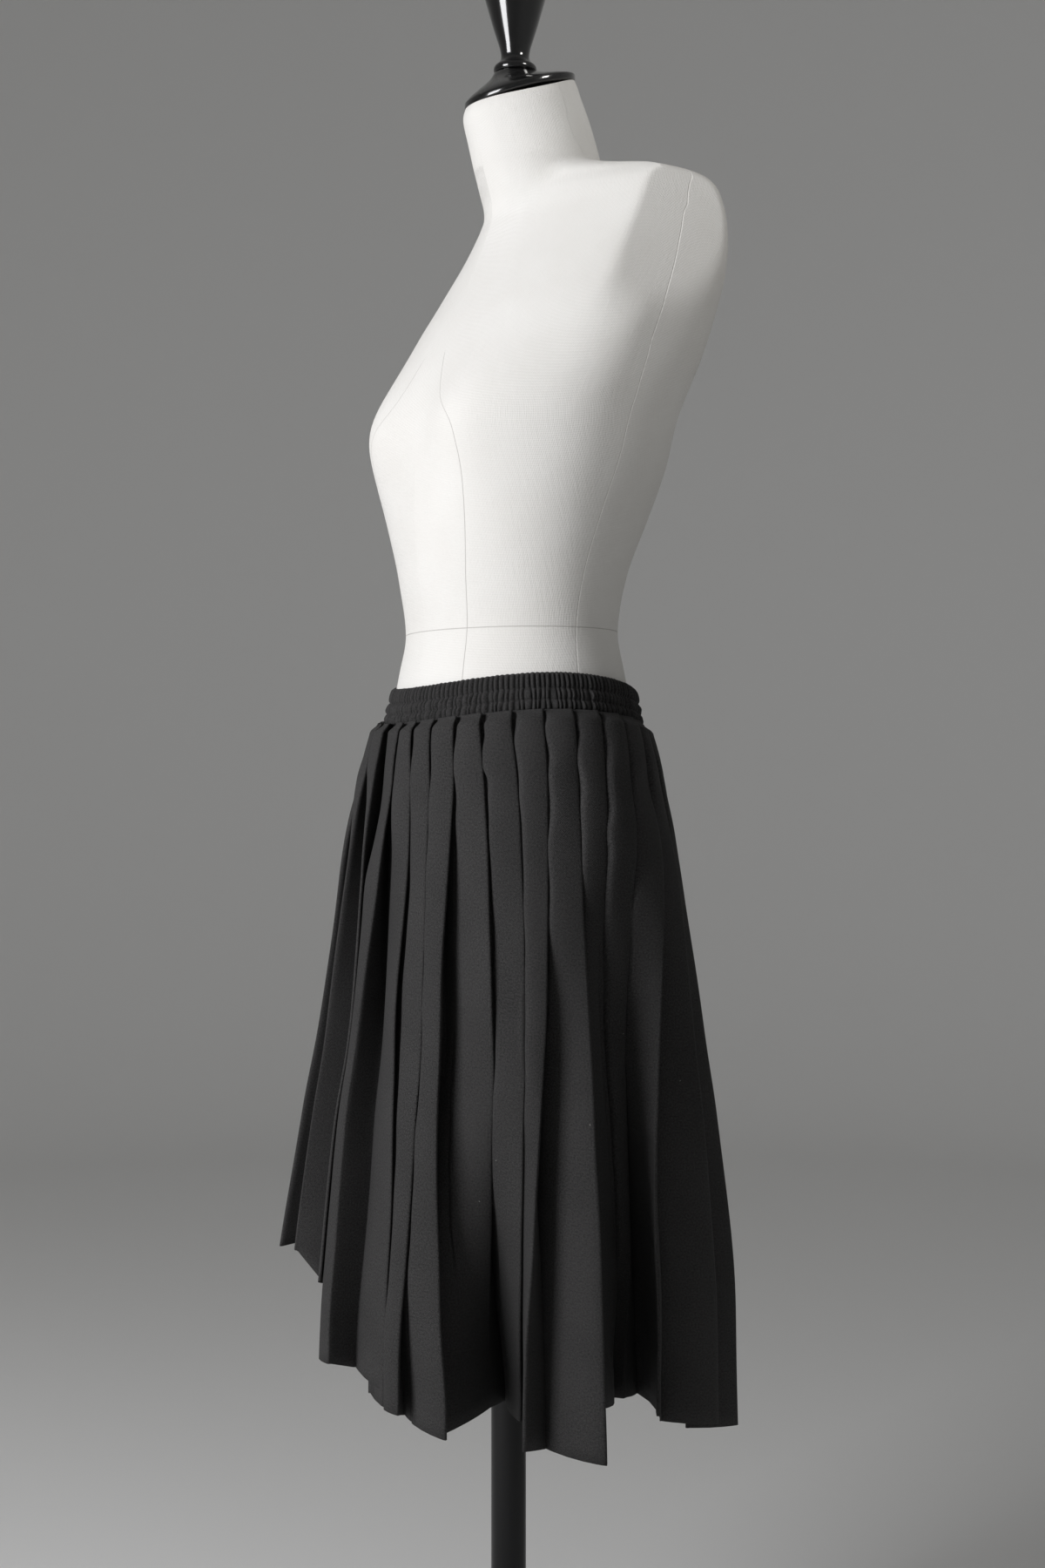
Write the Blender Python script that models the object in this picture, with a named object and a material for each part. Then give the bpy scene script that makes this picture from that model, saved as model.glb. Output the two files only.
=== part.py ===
# Knife pleated skirt with an elasticated waistband, worn on a limbless dress form that stands
# on a pole and a round base. Metres, +Z up. The form faces -Y and the wearer's left is +X.
# The origin is on the floor, on the axis of the pole.
#
# An azimuth is given in degrees round the wearer: 0 at the front, 90 at the left side, 180 at
# the back. Tables are in millimetres and degrees, and mm() turns them to metres.

import math
from functools import lru_cache

import bmesh
import bpy
import numpy as np

MM = 0.001
GAP = 0.0003

# Form, in millimetres: each row is one level of the padded torso.
# height, half width, forward place of the widest point, front, back, front and back squareness
TORSO_ROWS = [
    (796, 143, 0, 97, 103, 2.0, 2.0),
    (860, 146, 0, 99, 106, 2.0, 2.0),
    (915, 144, 0, 99, 106, 2.0, 2.0),
    (950, 141.5, 0, 101, 105, 2.0, 2.0),
    (972, 137.4, 0, 100.4, 102.4, 2.0, 2.0),
    (994, 132, 0, 96, 99.5, 2.0, 2.0),
    (1016, 126.5, 0, 92, 96, 2.0, 2.0),
    (1050, 118, 0, 87, 92, 2.0, 2.0),
    (1100, 125, 0, 93, 98, 2.0, 2.1),
    (1150, 141, -3, 97, 114, 2.1, 2.2),
    (1195, 155, -8, 96, 120, 2.2, 2.6),
    (1240, 164, -14, 94, 124, 2.2, 2.9),
    (1285, 171, -28, 82, 129, 2.0, 3.2),
    (1330, 176, -44, 62, 131, 1.8, 3.8),
    (1365, 178, -56, 44, 131, 1.7, 4.0),
    (1400, 178, -64, 28, 130, 1.6, 4.0),
    (1428, 173, -69, 18, 128, 1.5, 3.6),
    (1448, 158, -70, 18, 124, 1.35, 3.0),
    (1461, 122, -66, 20, 117, 1.3, 2.4),
    (1472, 84, -54, 23, 104, 1.6, 2.0),
]
BUST_HEIGHT = 1236
BUST_APART = 88
BUST_RISE = 19
BUST_SPREAD = 50
BUST_TALL = 62
TORSO_POINTS = 48

# Neck: height of the ring's centre, forward place of that centre, radius, tilt to the front
NECK_ROWS = [
    (1488, -27, 54.0, 4),
    (1512, -21, 52.2, 10),
    (1547, -12, 50.0, 17),
]
NECK_CAP_RIM = 5.5
NECK_CAP_RISE = 13

# Turned finial above the cap: height above the cap's centre, radius
FINIAL_PROFILE = [
    (0.0, 18.0),
    (3.0, 20.0),
    (7.0, 18.6),
    (10.0, 15.0),
    (14.0, 13.0),
    (20.0, 13.6),
    (32.0, 17.0),
    (48.0, 22.0),
    (64.0, 26.6),
    (80.0, 31.0),
    (96.0, 35.0),
    (108.0, 37.0),
    (116.0, 35.5),
    (122.0, 29.0),
    (126.0, 18.0),
]
FINIAL_AXIS_FORWARD = -7.0

# Stand
POLE_RADIUS = 16
BASE_RADIUS = 185
BASE_RIM = 9
BASE_TOP = 16
COLLAR_RADIUS = 27
COLLAR_TOP = 58

# Waistband, in millimetres
BAND_HEIGHT = 31.5
BAND_SEAM = 971.0
BAND_SIDE_RISE = 6.5
BAND_TILT = 2.2
BAND_CLEAR = 0.6
BAND_WALL = 2.6
BAND_BACK_EASE = 4.0
GATHERS = 150
GATHER_RISE = 1.5

# Pleated cloth, in millimetres
CLOTH = 1.1
PLEATS = 31
FACE = 59.5
RETURN = 30.5
FOLD_GAP = 2.0
LEAST_OUTER_FOLD = 7.6
LEAST_INNER_FOLD = 7.2
WIDEST_FOLD = 300.0
MOST_FOLD_STEPS = 300
MEAN_DEPTH = 8.0
WARM_UP = 8
SEAM_GAP = 0.4
FACE_SHARES = (0.0, 0.25, 0.5, 0.75, 1.0)
RETURN_SHARES = (0.0, 0.5, 1.0)
RING_DEGREES = np.arange(0, 361, 2)

# Outline of the outer folds: height, half width, half depth
ENVELOPE_ROWS = [
    (300, 230, 206),
    (448, 226, 203),
    (520, 222, 196),
    (619, 211, 181),
    (683, 203, 168),
    (762, 193, 156),
    (860, 180, 141),
    (921, 167, 128),
    (952, 155, 118.5),
    (964, 150.5, 115.5),
    (979, 146.8, 112.8),
]
AZIMUTH_HEIGHTS = (970, 860, 720, 555, 400)

# Outer folds in order round the skirt, from the right front: the azimuth at each of the five
# heights above, how far the fold sinks in at each of the last three, and its hem
PLEAT_ROWS = [
    (-22, -18, -14, -11, -10, 0, 0, 0, 503),
    (-11, -5, 1, 5, 7, 0, -3, -6, 492),
    (0, 3, 5, 10.5, 12.5, 0, -3, -6, 419),
    (10, 18, 20, 26, 26.5, 0, 2, 5, 403),
    (20, 25.5, 29, 31.5, 31, 0, 1, 3, 387),
    (30.5, 33.5, 34.5, 39, 42.5, 0, 3, 8, 371),
    (41.5, 44, 48, 49.5, 46.5, 2, 38, 86, 386),
    (54, 57.5, 59.5, 59.5, 59, 1, 22, 60, 379),
    (67, 66.5, 65.5, 63, 60.5, 0, 12, 32, 361),
    (80, 78, 78.5, 79.5, 81, 0, 4, 10, 350),
    (93, 88, 88, 93, 100, 6, 34, 78, 380),
    (106, 101, 98, 99, 104, 6, 34, 66, 381),
    (118, 115, 105, 99, 102.5, 2, 14, 30, 375),
    (130, 129, 124, 124, 128, 0, 7, 16, 351),
    (142, 141, 140, 140.5, 141.5, 0, 2, 4, 337),
    (153, 153, 154, 155, 156, 0, 0, 0, 334),
    (164, 165, 166, 168, 169, 0, 3, 6, 342),
    (175, 176, 178, 180, 181, 0, 0, 0, 352),
    (186, 187, 190, 193, 194, 0, 4, 9, 364),
    (197, 199, 202, 206, 207, 2, 12, 24, 380),
    (208, 211, 214, 219, 221, 0, 0, 0, 392),
    (219, 222, 226, 231, 233, 0, 0, 0, 406),
    (231, 234, 238, 243, 246, 0, 3, 8, 422),
    (244, 246, 250, 255, 258, 0, 0, 0, 438),
    (257, 258, 262, 266, 269, 2, 14, 30, 456),
    (270, 271, 274, 278, 280, 0, 5, 10, 468),
    (283, 284, 286, 290, 292, 0, 0, 0, 482),
    (295, 296, 298, 302, 304, 0, 3, 8, 494),
    (306, 308, 310, 314, 316, 0, 0, 0, 502),
    (317, 319, 322, 326, 328, 2, 10, 22, 508),
    (328, 330, 333, 337, 339, 0, 0, 0, 507),
]
HEM_STEP_PLEAT = 2
SIDE_SEAM_PLEAT = 25
SEAM_DROPS = (0, 14, 42, 95)
DROP_SHARES = (0.22, 0.44, 0.66, 0.85, 1.0)


def mm(value):
    return value * MM


def clear_scene():
    for obj in list(bpy.data.objects):
        bpy.data.objects.remove(obj, do_unlink=True)


def material(name, colour, roughness, metallic=0.0):
    made = bpy.data.materials.new(name)
    made.use_nodes = True
    shader = made.node_tree.nodes["Principled BSDF"]
    shader.inputs["Base Color"].default_value = (*colour, 1.0)
    shader.inputs["Roughness"].default_value = roughness
    shader.inputs["Metallic"].default_value = metallic
    return made


def add_object(name, mesh_data, finish, smooth_angle=None):
    obj = bpy.data.objects.new(name, mesh_data)
    bpy.context.scene.collection.objects.link(obj)
    mesh_data.materials.append(finish)
    if smooth_angle:
        mesh_data.shade_smooth()
        mesh_data.set_sharp_from_angle(angle=math.radians(smooth_angle))
    return obj


def smooth_value(levels, values, height):
    """The value at a height, on a smooth curve through values at ordered levels."""
    if levels[0] > levels[-1]:
        levels, values = levels[::-1], values[::-1]
    i = int(np.clip(np.searchsorted(levels, height) - 1, 0, len(levels) - 2))
    low, high = levels[i], levels[i + 1]
    t = min(max((height - low) / (high - low), 0.0), 1.0)

    def slope(k):
        before, after = max(k - 1, 0), min(k + 1, len(levels) - 1)
        return (values[after] - values[before]) / (levels[after] - levels[before])

    m0, m1 = slope(i) * (high - low), slope(i + 1) * (high - low)
    return (
        values[i] * (2 * t**3 - 3 * t**2 + 1)
        + m0 * (t**3 - 2 * t**2 + t)
        + values[i + 1] * (3 * t**2 - 2 * t**3)
        + m1 * (t**3 - t**2)
    )


def table_value(rows, height, column):
    return smooth_value([row[0] for row in rows], [row[column] for row in rows], height)


def signed_power(value, power):
    return math.copysign(abs(value) ** power, value)


def torso_point(azimuth, height):
    """A point of the padded torso's surface, as sideways and forward places in millimetres."""
    half_width, widest, front, back, square_front, square_back = (
        table_value(TORSO_ROWS, height, column) for column in range(1, 7)
    )
    angle = math.radians(azimuth)
    ahead = math.cos(angle) >= 0
    square = square_front if ahead else square_back
    depth = front - widest if ahead else back + widest
    side = half_width * signed_power(math.sin(angle), 2 / square)
    forward = widest + depth * signed_power(math.cos(angle), 2 / square)
    if ahead:
        across = math.exp(-(((abs(side) - BUST_APART) / BUST_SPREAD) ** 2))
        up = math.exp(-(((height - BUST_HEIGHT) / BUST_TALL) ** 2))
        forward += BUST_RISE * across * up * math.cos(angle) ** 0.5
    return side, forward


def ring_of(bm, points):
    """Vertices for points given as sideways, forward and height in millimetres."""
    return [bm.verts.new((mm(side), mm(-forward), mm(height))) for side, forward, height in points]


def skin(bm, rings):
    """Faces between closed rings of the same count, the first ring lowest, facing out."""
    for low, high in zip(rings, rings[1:]):
        for i in range(len(low)):
            j = (i + 1) % len(low)
            bm.faces.new((low[i], low[j], high[j], high[i]))


def finish_mesh(bm, name):
    bmesh.ops.recalc_face_normals(bm, faces=bm.faces)
    data = bpy.data.meshes.new(name)
    bm.to_mesh(data)
    bm.free()
    return data


def tilted_ring(height, forward, radius, tilt, count):
    """A level or tilted circle: its front is lower than its back by the tilt."""
    fall = math.tan(math.radians(tilt))
    points = []
    for i in range(count):
        angle = 2 * math.pi * i / count
        ahead = radius * math.cos(angle)
        points.append((radius * math.sin(angle), forward + ahead, height - ahead * fall))
    return points


def make_torso(finish):
    bm = bmesh.new()
    rings = []
    for row in TORSO_ROWS:
        azimuths = [360 * i / TORSO_POINTS for i in range(TORSO_POINTS)]
        rings.append(ring_of(bm, [(*torso_point(a, row[0]), row[0]) for a in azimuths]))
    for height, forward, radius, tilt in NECK_ROWS:
        rings.append(ring_of(bm, tilted_ring(height, forward, radius, tilt, TORSO_POINTS)))
    skin(bm, rings)
    bm.faces.new(rings[-1])
    bm.faces.new(list(reversed(rings[0])))
    add_object("form_torso", finish_mesh(bm, "form_torso"), finish, smooth_angle=40)


def make_neck_cap(finish):
    """A thin cap that follows the neck's tilted top and rises as a low cone to the finial."""
    height, forward, radius, tilt = NECK_ROWS[-1]
    lift = GAP / MM
    steps = [
        (0.0, radius + 0.6),
        (NECK_CAP_RIM, radius + 0.6),
        (NECK_CAP_RIM + 1.6, radius - 1.6),
        (NECK_CAP_RIM + NECK_CAP_RISE * 0.45, radius * 0.72),
        (NECK_CAP_RIM + NECK_CAP_RISE * 0.85, radius * 0.46),
    ]
    bm = bmesh.new()
    rings = []
    for rise, step_radius in steps:
        share = 1.0 if rise < NECK_CAP_RIM + 2 else step_radius / radius
        rings.append(
            ring_of(bm, tilted_ring(height + lift + rise, forward, step_radius, tilt * share, 48))
        )
    crown = NECK_CAP_RIM + NECK_CAP_RISE
    rings.append(ring_of(bm, tilted_ring(height + lift + crown, FINIAL_AXIS_FORWARD, 19.0, 0, 48)))
    skin(bm, rings)
    bm.faces.new(rings[-1])
    bm.faces.new(list(reversed(rings[0])))
    add_object("neck_cap", finish_mesh(bm, "neck_cap"), finish, smooth_angle=35)


def make_turned(name, profile, forward, finish, count=48, smooth_angle=35):
    """A solid of revolution about a vertical axis, from heights and radii, lowest first."""
    bm = bmesh.new()
    rings = [ring_of(bm, tilted_ring(h, forward, r, 0, count)) for h, r in profile]
    skin(bm, rings)
    bm.faces.new(rings[-1])
    bm.faces.new(list(reversed(rings[0])))
    add_object(name, finish_mesh(bm, name), finish, smooth_angle)


def make_finial(finish):
    cap_top = NECK_ROWS[-1][0] + NECK_CAP_RIM + NECK_CAP_RISE + 2 * GAP / MM
    profile = [(cap_top + rise, radius) for rise, radius in FINIAL_PROFILE]
    make_turned("finial", profile, FINIAL_AXIS_FORWARD, finish, count=32, smooth_angle=60)


def make_stand(pole_finish, base_finish):
    gap = GAP / MM
    base = [
        (0.0, BASE_RADIUS),
        (BASE_RIM - 2.0, BASE_RADIUS),
        (BASE_RIM, BASE_RADIUS - 3.0),
        (BASE_TOP, COLLAR_RADIUS + 12.0),
        (BASE_TOP + 4.0, COLLAR_RADIUS),
        (COLLAR_TOP - 2.0, COLLAR_RADIUS - 1.0),
        (COLLAR_TOP, COLLAR_RADIUS - 3.0),
    ]
    make_turned("stand_base", base, 0.0, base_finish, count=64)
    pole = [
        (COLLAR_TOP + gap, POLE_RADIUS),
        (TORSO_ROWS[0][0] - gap, POLE_RADIUS),
    ]
    make_turned("stand_pole", pole, 0.0, pole_finish, count=32)


def band_bottom(azimuth):
    """Height of the seam between waistband and pleats: highest at the sides, lowest at the back."""
    return (
        BAND_SEAM
        + BAND_SIDE_RISE * math.cos(math.radians(2 * (azimuth - 80)))
        + BAND_TILT * math.cos(math.radians(azimuth + 30))
    )


def outward(azimuth, half_width, half_depth):
    """Unit normal of an ellipse at its own azimuth, sideways and forward."""
    angle = math.radians(azimuth)
    side, ahead = half_depth * math.sin(angle), half_width * math.cos(angle)
    length = math.hypot(side, ahead)
    return side / length, ahead / length


def moved_out(point, normal, distance):
    return point[0] + normal[0] * distance, point[1] + normal[1] * distance


def make_waistband(finish):
    """Elasticated casing: gathers raised on its outer side over a plain inside."""
    bm = bmesh.new()
    count = GATHERS * 2
    # height within the band, how far out its face swells, how strong the gathers are
    outer_levels = [(0.0, 0.6, 0.7), (0.3, 0.9, 1.0), (0.6, 0.2, 0.55), (1.0, 0.2, 0.8)]
    inner_levels = [1.0, 0.0]

    def point(i, level, distance):
        azimuth = 360 * i / count
        height = band_bottom(azimuth) + GAP / MM + level * BAND_HEIGHT
        ease = BAND_BACK_EASE * max(0.0, math.cos(math.radians(azimuth - 165))) ** 2
        normal = outward(azimuth, 135, 100)
        side, forward = moved_out(torso_point(azimuth, height), normal, BAND_CLEAR + ease + distance)
        return side, forward, height

    rings = []
    for level, swell, strength in outer_levels:
        points = []
        for i in range(count):
            uneven = 0.75 + 0.25 * math.sin(i * 0.37) * math.sin(i * 0.113 + 1.0)
            gather = GATHER_RISE * strength * uneven * (i % 2)
            points.append(point(i, level, BAND_WALL + swell + gather))
        rings.append(ring_of(bm, points))
    for level in inner_levels:
        rings.append(ring_of(bm, [point(i, level, 0.0) for i in range(count)]))
    skin(bm, rings + [rings[0]])
    add_object("waistband", finish_mesh(bm, "waistband"), finish)


def fold_azimuth(pleat, height):
    """Azimuth of an outer fold at a height; its number may run past the last pleat."""
    turns, index = divmod(pleat, PLEATS)
    return 360 * turns + smooth_value(AZIMUTH_HEIGHTS, PLEAT_ROWS[index][:5], height)


def fold_sink(pleat, height):
    return smooth_value(AZIMUTH_HEIGHTS, (0, 0, *PLEAT_ROWS[pleat % PLEATS][5:8]), height)


def hem_height(pleat):
    return PLEAT_ROWS[pleat % PLEATS][8]


def envelope(height):
    return table_value(ENVELOPE_ROWS, height, 1), table_value(ENVELOPE_ROWS, height, 2)


@lru_cache(maxsize=None)
def ring_lengths(height):
    """Length along the envelope from azimuth 0 to each of the azimuths of the ring table."""
    half_width, half_depth = envelope(height)
    angles = np.radians(RING_DEGREES)
    rate = np.hypot(half_width * np.cos(angles), half_depth * np.sin(angles))
    steps = (rate[1:] + rate[:-1]) / 2 * np.diff(angles)
    return np.concatenate(([0.0], np.cumsum(steps)))


def arc_at(azimuth, height):
    lengths = ring_lengths(height)
    turns, rest = divmod(azimuth, 360)
    return turns * lengths[-1] + float(np.interp(rest, RING_DEGREES, lengths))


def azimuth_at(arc, height):
    lengths = ring_lengths(height)
    turns, rest = divmod(arc, lengths[-1])
    return turns * 360 + float(np.interp(rest, lengths, RING_DEGREES))


def ring_radius(azimuth, half_width, half_depth):
    """Radius of an ellipse's bend at an azimuth."""
    angle = math.radians(azimuth)
    rate = math.hypot(half_width * math.cos(angle), half_depth * math.sin(angle))
    return rate**3 / (half_width * half_depth)


def cloth_point(azimuth, height, depth):
    """A place a depth inside the envelope, sideways and forward."""
    half_width, half_depth = envelope(height)
    angle = math.radians(azimuth)
    on_ring = half_width * math.sin(angle), half_depth * math.cos(angle)
    return moved_out(on_ring, outward(azimuth, half_width, half_depth), -depth)


def inner_side(direction):
    """Turned to the inner side of a run that goes round by increasing azimuth."""
    return np.array((direction[1], -direction[0]))


def unit(vector):
    return vector / max(np.linalg.norm(vector), 1e-9)


def heading(vector):
    return math.atan2(vector[1], vector[0])


def return_run(before, after):
    """The run from an outer fold back to its inner fold, from the two folds beside it.

    All places count from the outer fold, along the ring and out of it. The return and the
    next face keep their widths, so the inner fold moves inward as the outer folds spread.
    Closer than that the cloth lies flat, each layer clear of the last.
    """
    apart = max(np.linalg.norm(after), 1.0)
    back = min(max((RETURN**2 - FACE**2 + apart**2) / (2 * apart), -RETURN), RETURN)
    opening = (heading(after) - math.acos(back / RETURN) - heading(before)) % (2 * math.pi)
    least = math.radians(LEAST_OUTER_FOLD)
    if opening < least or opening > math.radians(WIDEST_FOLD):
        opening = least
    for _ in range(MOST_FOLD_STEPS):
        direction = heading(before) + opening
        run = RETURN * np.array((math.cos(direction), math.sin(direction)))
        wedge = heading(-run) - heading(after - run)
        wedge = (wedge + math.pi / 2) % (2 * math.pi) - math.pi / 2
        if wedge >= math.radians(LEAST_INNER_FOLD):
            break
        opening += math.radians(0.5)
    return run


def fold_tip(along, beside, across):
    """From a fold to the end of its return: across a flat fold, along the run of an open one."""
    openness = min(max(1 - 2 * np.dot(along, beside), 0.0), 1.0)
    return unit(across * (1 - openness) + along * openness) * FOLD_GAP


@lru_cache(maxsize=None)
def folds_at(height):
    """Outer folds, inner folds and the runs' tips at a height, as arcs and depths."""
    half_width, half_depth = envelope(height)
    count = range(-WARM_UP, PLEATS + 2)
    azimuths = {k: fold_azimuth(k, height) for k in count}
    outer = {k: np.array((arc_at(azimuths[k], height), -fold_sink(k, height))) for k in count}
    scale = {}
    for k in count:
        radius = ring_radius(azimuths[k], half_width, half_depth)
        scale[k] = np.array((1 - (MEAN_DEPTH - outer[k][1]) / radius, 1.0))
    inner = {-WARM_UP - 1: outer[-WARM_UP] - (FACE, 8.0)}
    return_start, return_end = {}, {}
    for k in count[:-1]:
        before = (inner[k - 1] - outer[k]) * scale[k]
        after = (outer[k + 1] - outer[k]) * scale[k]
        run = return_run(before, after)
        inner[k] = outer[k] + run / scale[k]
        tip = fold_tip(unit(run), unit(before), inner_side(unit(-before)))
        return_start[k] = outer[k] + tip / scale[k]
        face = unit((outer[k + 1] - inner[k]) * scale[k + 1])
        tip = fold_tip(unit(-run), face, -inner_side(face))
        return_end[k] = inner[k] + tip / scale[k + 1]
    return outer, inner, return_start, return_end


def fold_place(kind, pleat, height):
    """Azimuth, height and depth of one fold line at a height."""
    turns, index = divmod(pleat, PLEATS)
    arc, out = folds_at(round(height, 1))[kind][index]
    return np.array((360 * turns + azimuth_at(arc, round(height, 1)), height, -out))


def pleat_section(pleat, ridge_height, before_height=None, after_height=None, at_seam=False):
    """Middle line of one pleat: inner fold, face, outer fold and return to the next inner fold."""
    before_height = before_height or ridge_height
    after_height = after_height or ridge_height
    face = fold_place(1, pleat - 1, before_height), fold_place(0, pleat, ridge_height)
    back = fold_place(2, pleat, ridge_height), fold_place(3, pleat, after_height)
    points = []
    for (start, end), shares in ((face, FACE_SHARES), (back, RETURN_SHARES)):
        for share in shares:
            azimuth, height, depth = start + (end - start) * share
            if at_seam:
                height = band_bottom(azimuth) - SEAM_GAP
            points.append((*cloth_point(azimuth, height, depth), height))
    return points


def valley_hem(pleat):
    return (hem_height(pleat) + hem_height(pleat + 1)) / 2


def height_at_level(top, hem, level):
    """Height of a level of the cloth: the first few follow the seam, the rest share the drop."""
    if level < len(SEAM_DROPS):
        return top - SEAM_DROPS[level]
    start = top - SEAM_DROPS[-1]
    return start + (hem - start) * DROP_SHARES[level - len(SEAM_DROPS)]


def pleat_at_level(pleat, level, first, last):
    """A pleat's middle line at a level; a panel's end folds follow its own hem."""
    ridge_hem = hem_height(pleat)
    before_hem = ridge_hem if pleat == first else valley_hem(pleat - 1)
    after_hem = ridge_hem if pleat == last - 1 else valley_hem(pleat)
    ridge_top, before_top, after_top = (
        band_bottom(fold_place(kind, k, AZIMUTH_HEIGHTS[0])[0]) - SEAM_GAP
        for kind, k in ((0, pleat), (1, pleat - 1), (1, pleat))
    )
    return pleat_section(
        pleat,
        height_at_level(ridge_top, ridge_hem, level),
        height_at_level(before_top, before_hem, level),
        height_at_level(after_top, after_hem, level),
        at_seam=level == 0,
    )


def wall_offsets(points):
    """How far each point of a flat line moves sideways and forward for half the cloth."""
    flat = np.array([p[:2] for p in points])
    before = np.roll(flat, 1, axis=0)
    after = np.roll(flat, -1, axis=0)
    before[0] = 2 * flat[0] - flat[1]
    after[-1] = 2 * flat[-1] - flat[-2]

    def units(vectors):
        return vectors / np.maximum(np.linalg.norm(vectors, axis=1), 1e-9)[:, None]

    into, out = units(flat - before), units(after - flat)
    normal_in = np.stack([-into[:, 1], into[:, 0]], axis=1)
    normal_out = np.stack([-out[:, 1], out[:, 0]], axis=1)
    mitre = units(normal_in + normal_out)
    spread = np.maximum((mitre * normal_in).sum(axis=1), 0.45)
    return mitre / spread[:, None] * CLOTH / 2


def make_panel(name, first, last, finish):
    """Pleats first to last - 1 as one closed wall of cloth."""
    bm = bmesh.new()
    outer, inner = [], []
    levels = range(len(SEAM_DROPS) + len(DROP_SHARES))
    for level in reversed(levels):
        line = [p for pleat in range(first, last) for p in pleat_at_level(pleat, level, first, last)]
        offsets = wall_offsets(line)
        outer.append(ring_of(bm, [(p[0] + o[0], p[1] + o[1], p[2]) for p, o in zip(line, offsets)]))
        inner.append(ring_of(bm, [(p[0] - o[0], p[1] - o[1], p[2]) for p, o in zip(line, offsets)]))
    skin(bm, [a + b[::-1] for a, b in zip(outer, inner)])
    for a, b in ((outer[0], inner[0]), (outer[-1], inner[-1])):
        for i in range(len(a) - 1):
            bm.faces.new((a[i], a[i + 1], b[i + 1], b[i]))
    add_object(name, finish_mesh(bm, name), finish)


def main():
    clear_scene()
    crepe = material("black_crepe", (0.028, 0.028, 0.031), 0.9)
    linen = material("off_white_linen", (0.86, 0.85, 0.82), 0.85)
    lacquer = material("black_lacquer", (0.012, 0.012, 0.012), 0.18)
    satin = material("black_satin_metal", (0.02, 0.02, 0.02), 0.4)
    make_torso(linen)
    make_neck_cap(lacquer)
    make_finial(lacquer)
    make_stand(satin, satin)
    make_waistband(crepe)
    make_panel("skirt_left_panel", HEM_STEP_PLEAT, SIDE_SEAM_PLEAT, crepe)
    make_panel("skirt_right_panel", SIDE_SEAM_PLEAT, PLEATS + HEM_STEP_PLEAT, crepe)


main()
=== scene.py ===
import math

import bmesh
import bpy
import numpy as np
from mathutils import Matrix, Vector


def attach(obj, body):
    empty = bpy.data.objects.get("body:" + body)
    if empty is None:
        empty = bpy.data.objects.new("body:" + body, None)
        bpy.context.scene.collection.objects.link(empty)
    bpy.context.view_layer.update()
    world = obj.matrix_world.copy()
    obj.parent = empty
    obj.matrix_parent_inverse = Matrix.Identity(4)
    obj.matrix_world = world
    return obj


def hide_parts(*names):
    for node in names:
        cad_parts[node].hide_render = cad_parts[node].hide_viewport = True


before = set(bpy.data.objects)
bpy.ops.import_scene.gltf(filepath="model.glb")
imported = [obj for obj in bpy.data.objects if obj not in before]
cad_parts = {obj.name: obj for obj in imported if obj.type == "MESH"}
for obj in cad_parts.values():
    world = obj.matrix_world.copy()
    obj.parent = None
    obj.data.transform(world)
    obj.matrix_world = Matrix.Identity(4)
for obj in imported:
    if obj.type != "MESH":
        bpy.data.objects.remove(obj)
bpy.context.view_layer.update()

mm = 0.001
scene = bpy.context.scene


# small helpers for smooth curves through tables of three rows or more

def smoothCurve(levels, values, at):
    levels, values, at = np.array(levels, float), np.array(values, float), np.asarray(at, float)
    if levels[0] > levels[-1]:
        levels, values = levels[::-1], values[::-1]
    slope = np.gradient(values, levels)
    slope[1:-1] = (values[2:] - values[:-2]) / (levels[2:] - levels[:-2])
    i = np.clip(np.searchsorted(levels, at) - 1, 0, len(levels) - 2)
    gap = levels[i + 1] - levels[i]
    t = np.clip((at - levels[i]) / gap, 0, 1)
    return (values[i] * (2 * t**3 - 3 * t**2 + 1) + slope[i] * gap * (t**3 - 2 * t**2 + t)
            + values[i + 1] * (3 * t**2 - 2 * t**3) + slope[i + 1] * gap * (t**3 - t**2))


def tableColumns(table, at):
    # each column after the first, read at a value of the first
    levels, *others = zip(*table)
    return [smoothCurve(levels, column, at) for column in others]


def smoothStep(low, high, x):
    t = np.clip((np.asarray(x, float) - low) / (high - low), 0, 1)
    return t * t * (3 - 2 * t)


def wave(*phases):
    # a few sines together, from -1 to 1
    return sum(np.sin(p) for p in phases) / len(phases)


# materials: one helper for colours and one for nodes

def hexColour(code):
    # sRGB hex to the linear values that a shader reads
    channels = [int(code[i:i + 2], 16) / 255 for i in (1, 3, 5)]
    return tuple(c / 12.92 if c <= 0.04045 else ((c + 0.055) / 1.055) ** 2.4 for c in channels) + (1.0,)


def addNode(tree, kind, settings=None, links=None):
    node = tree.nodes.new(kind)
    for key, value in (settings or {}).items():
        if isinstance(key, int) or key in node.inputs:
            node.inputs[key].default_value = value
        else:
            setattr(node, key, value)
    for key, source in (links or {}).items():
        tree.links.new(source, node.inputs[key])
    return node


def newMaterial(name, settings):
    made = bpy.data.materials.new(name)
    made.use_nodes = True
    tree = made.node_tree
    shader = tree.nodes["Principled BSDF"]
    for key, value in settings.items():
        shader.inputs[key].default_value = value
    return made, tree, shader


def shadeBetween(tree, source, reach, colours):
    # from the first colour to the second while the source goes through its reach
    low, high = reach
    share = addNode(tree, "ShaderNodeMapRange", {"From Min": low, "From Max": high}, {"Value": source})
    return addNode(tree, "ShaderNodeMix", {
        "data_type": "RGBA", 6: hexColour(colours[0]), 7: hexColour(colours[1]),
    }, {0: share.outputs["Result"]}).outputs[2]


wavesPerMetre = 0.314  # the wave texture's scale that gives one wave in a metre


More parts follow.
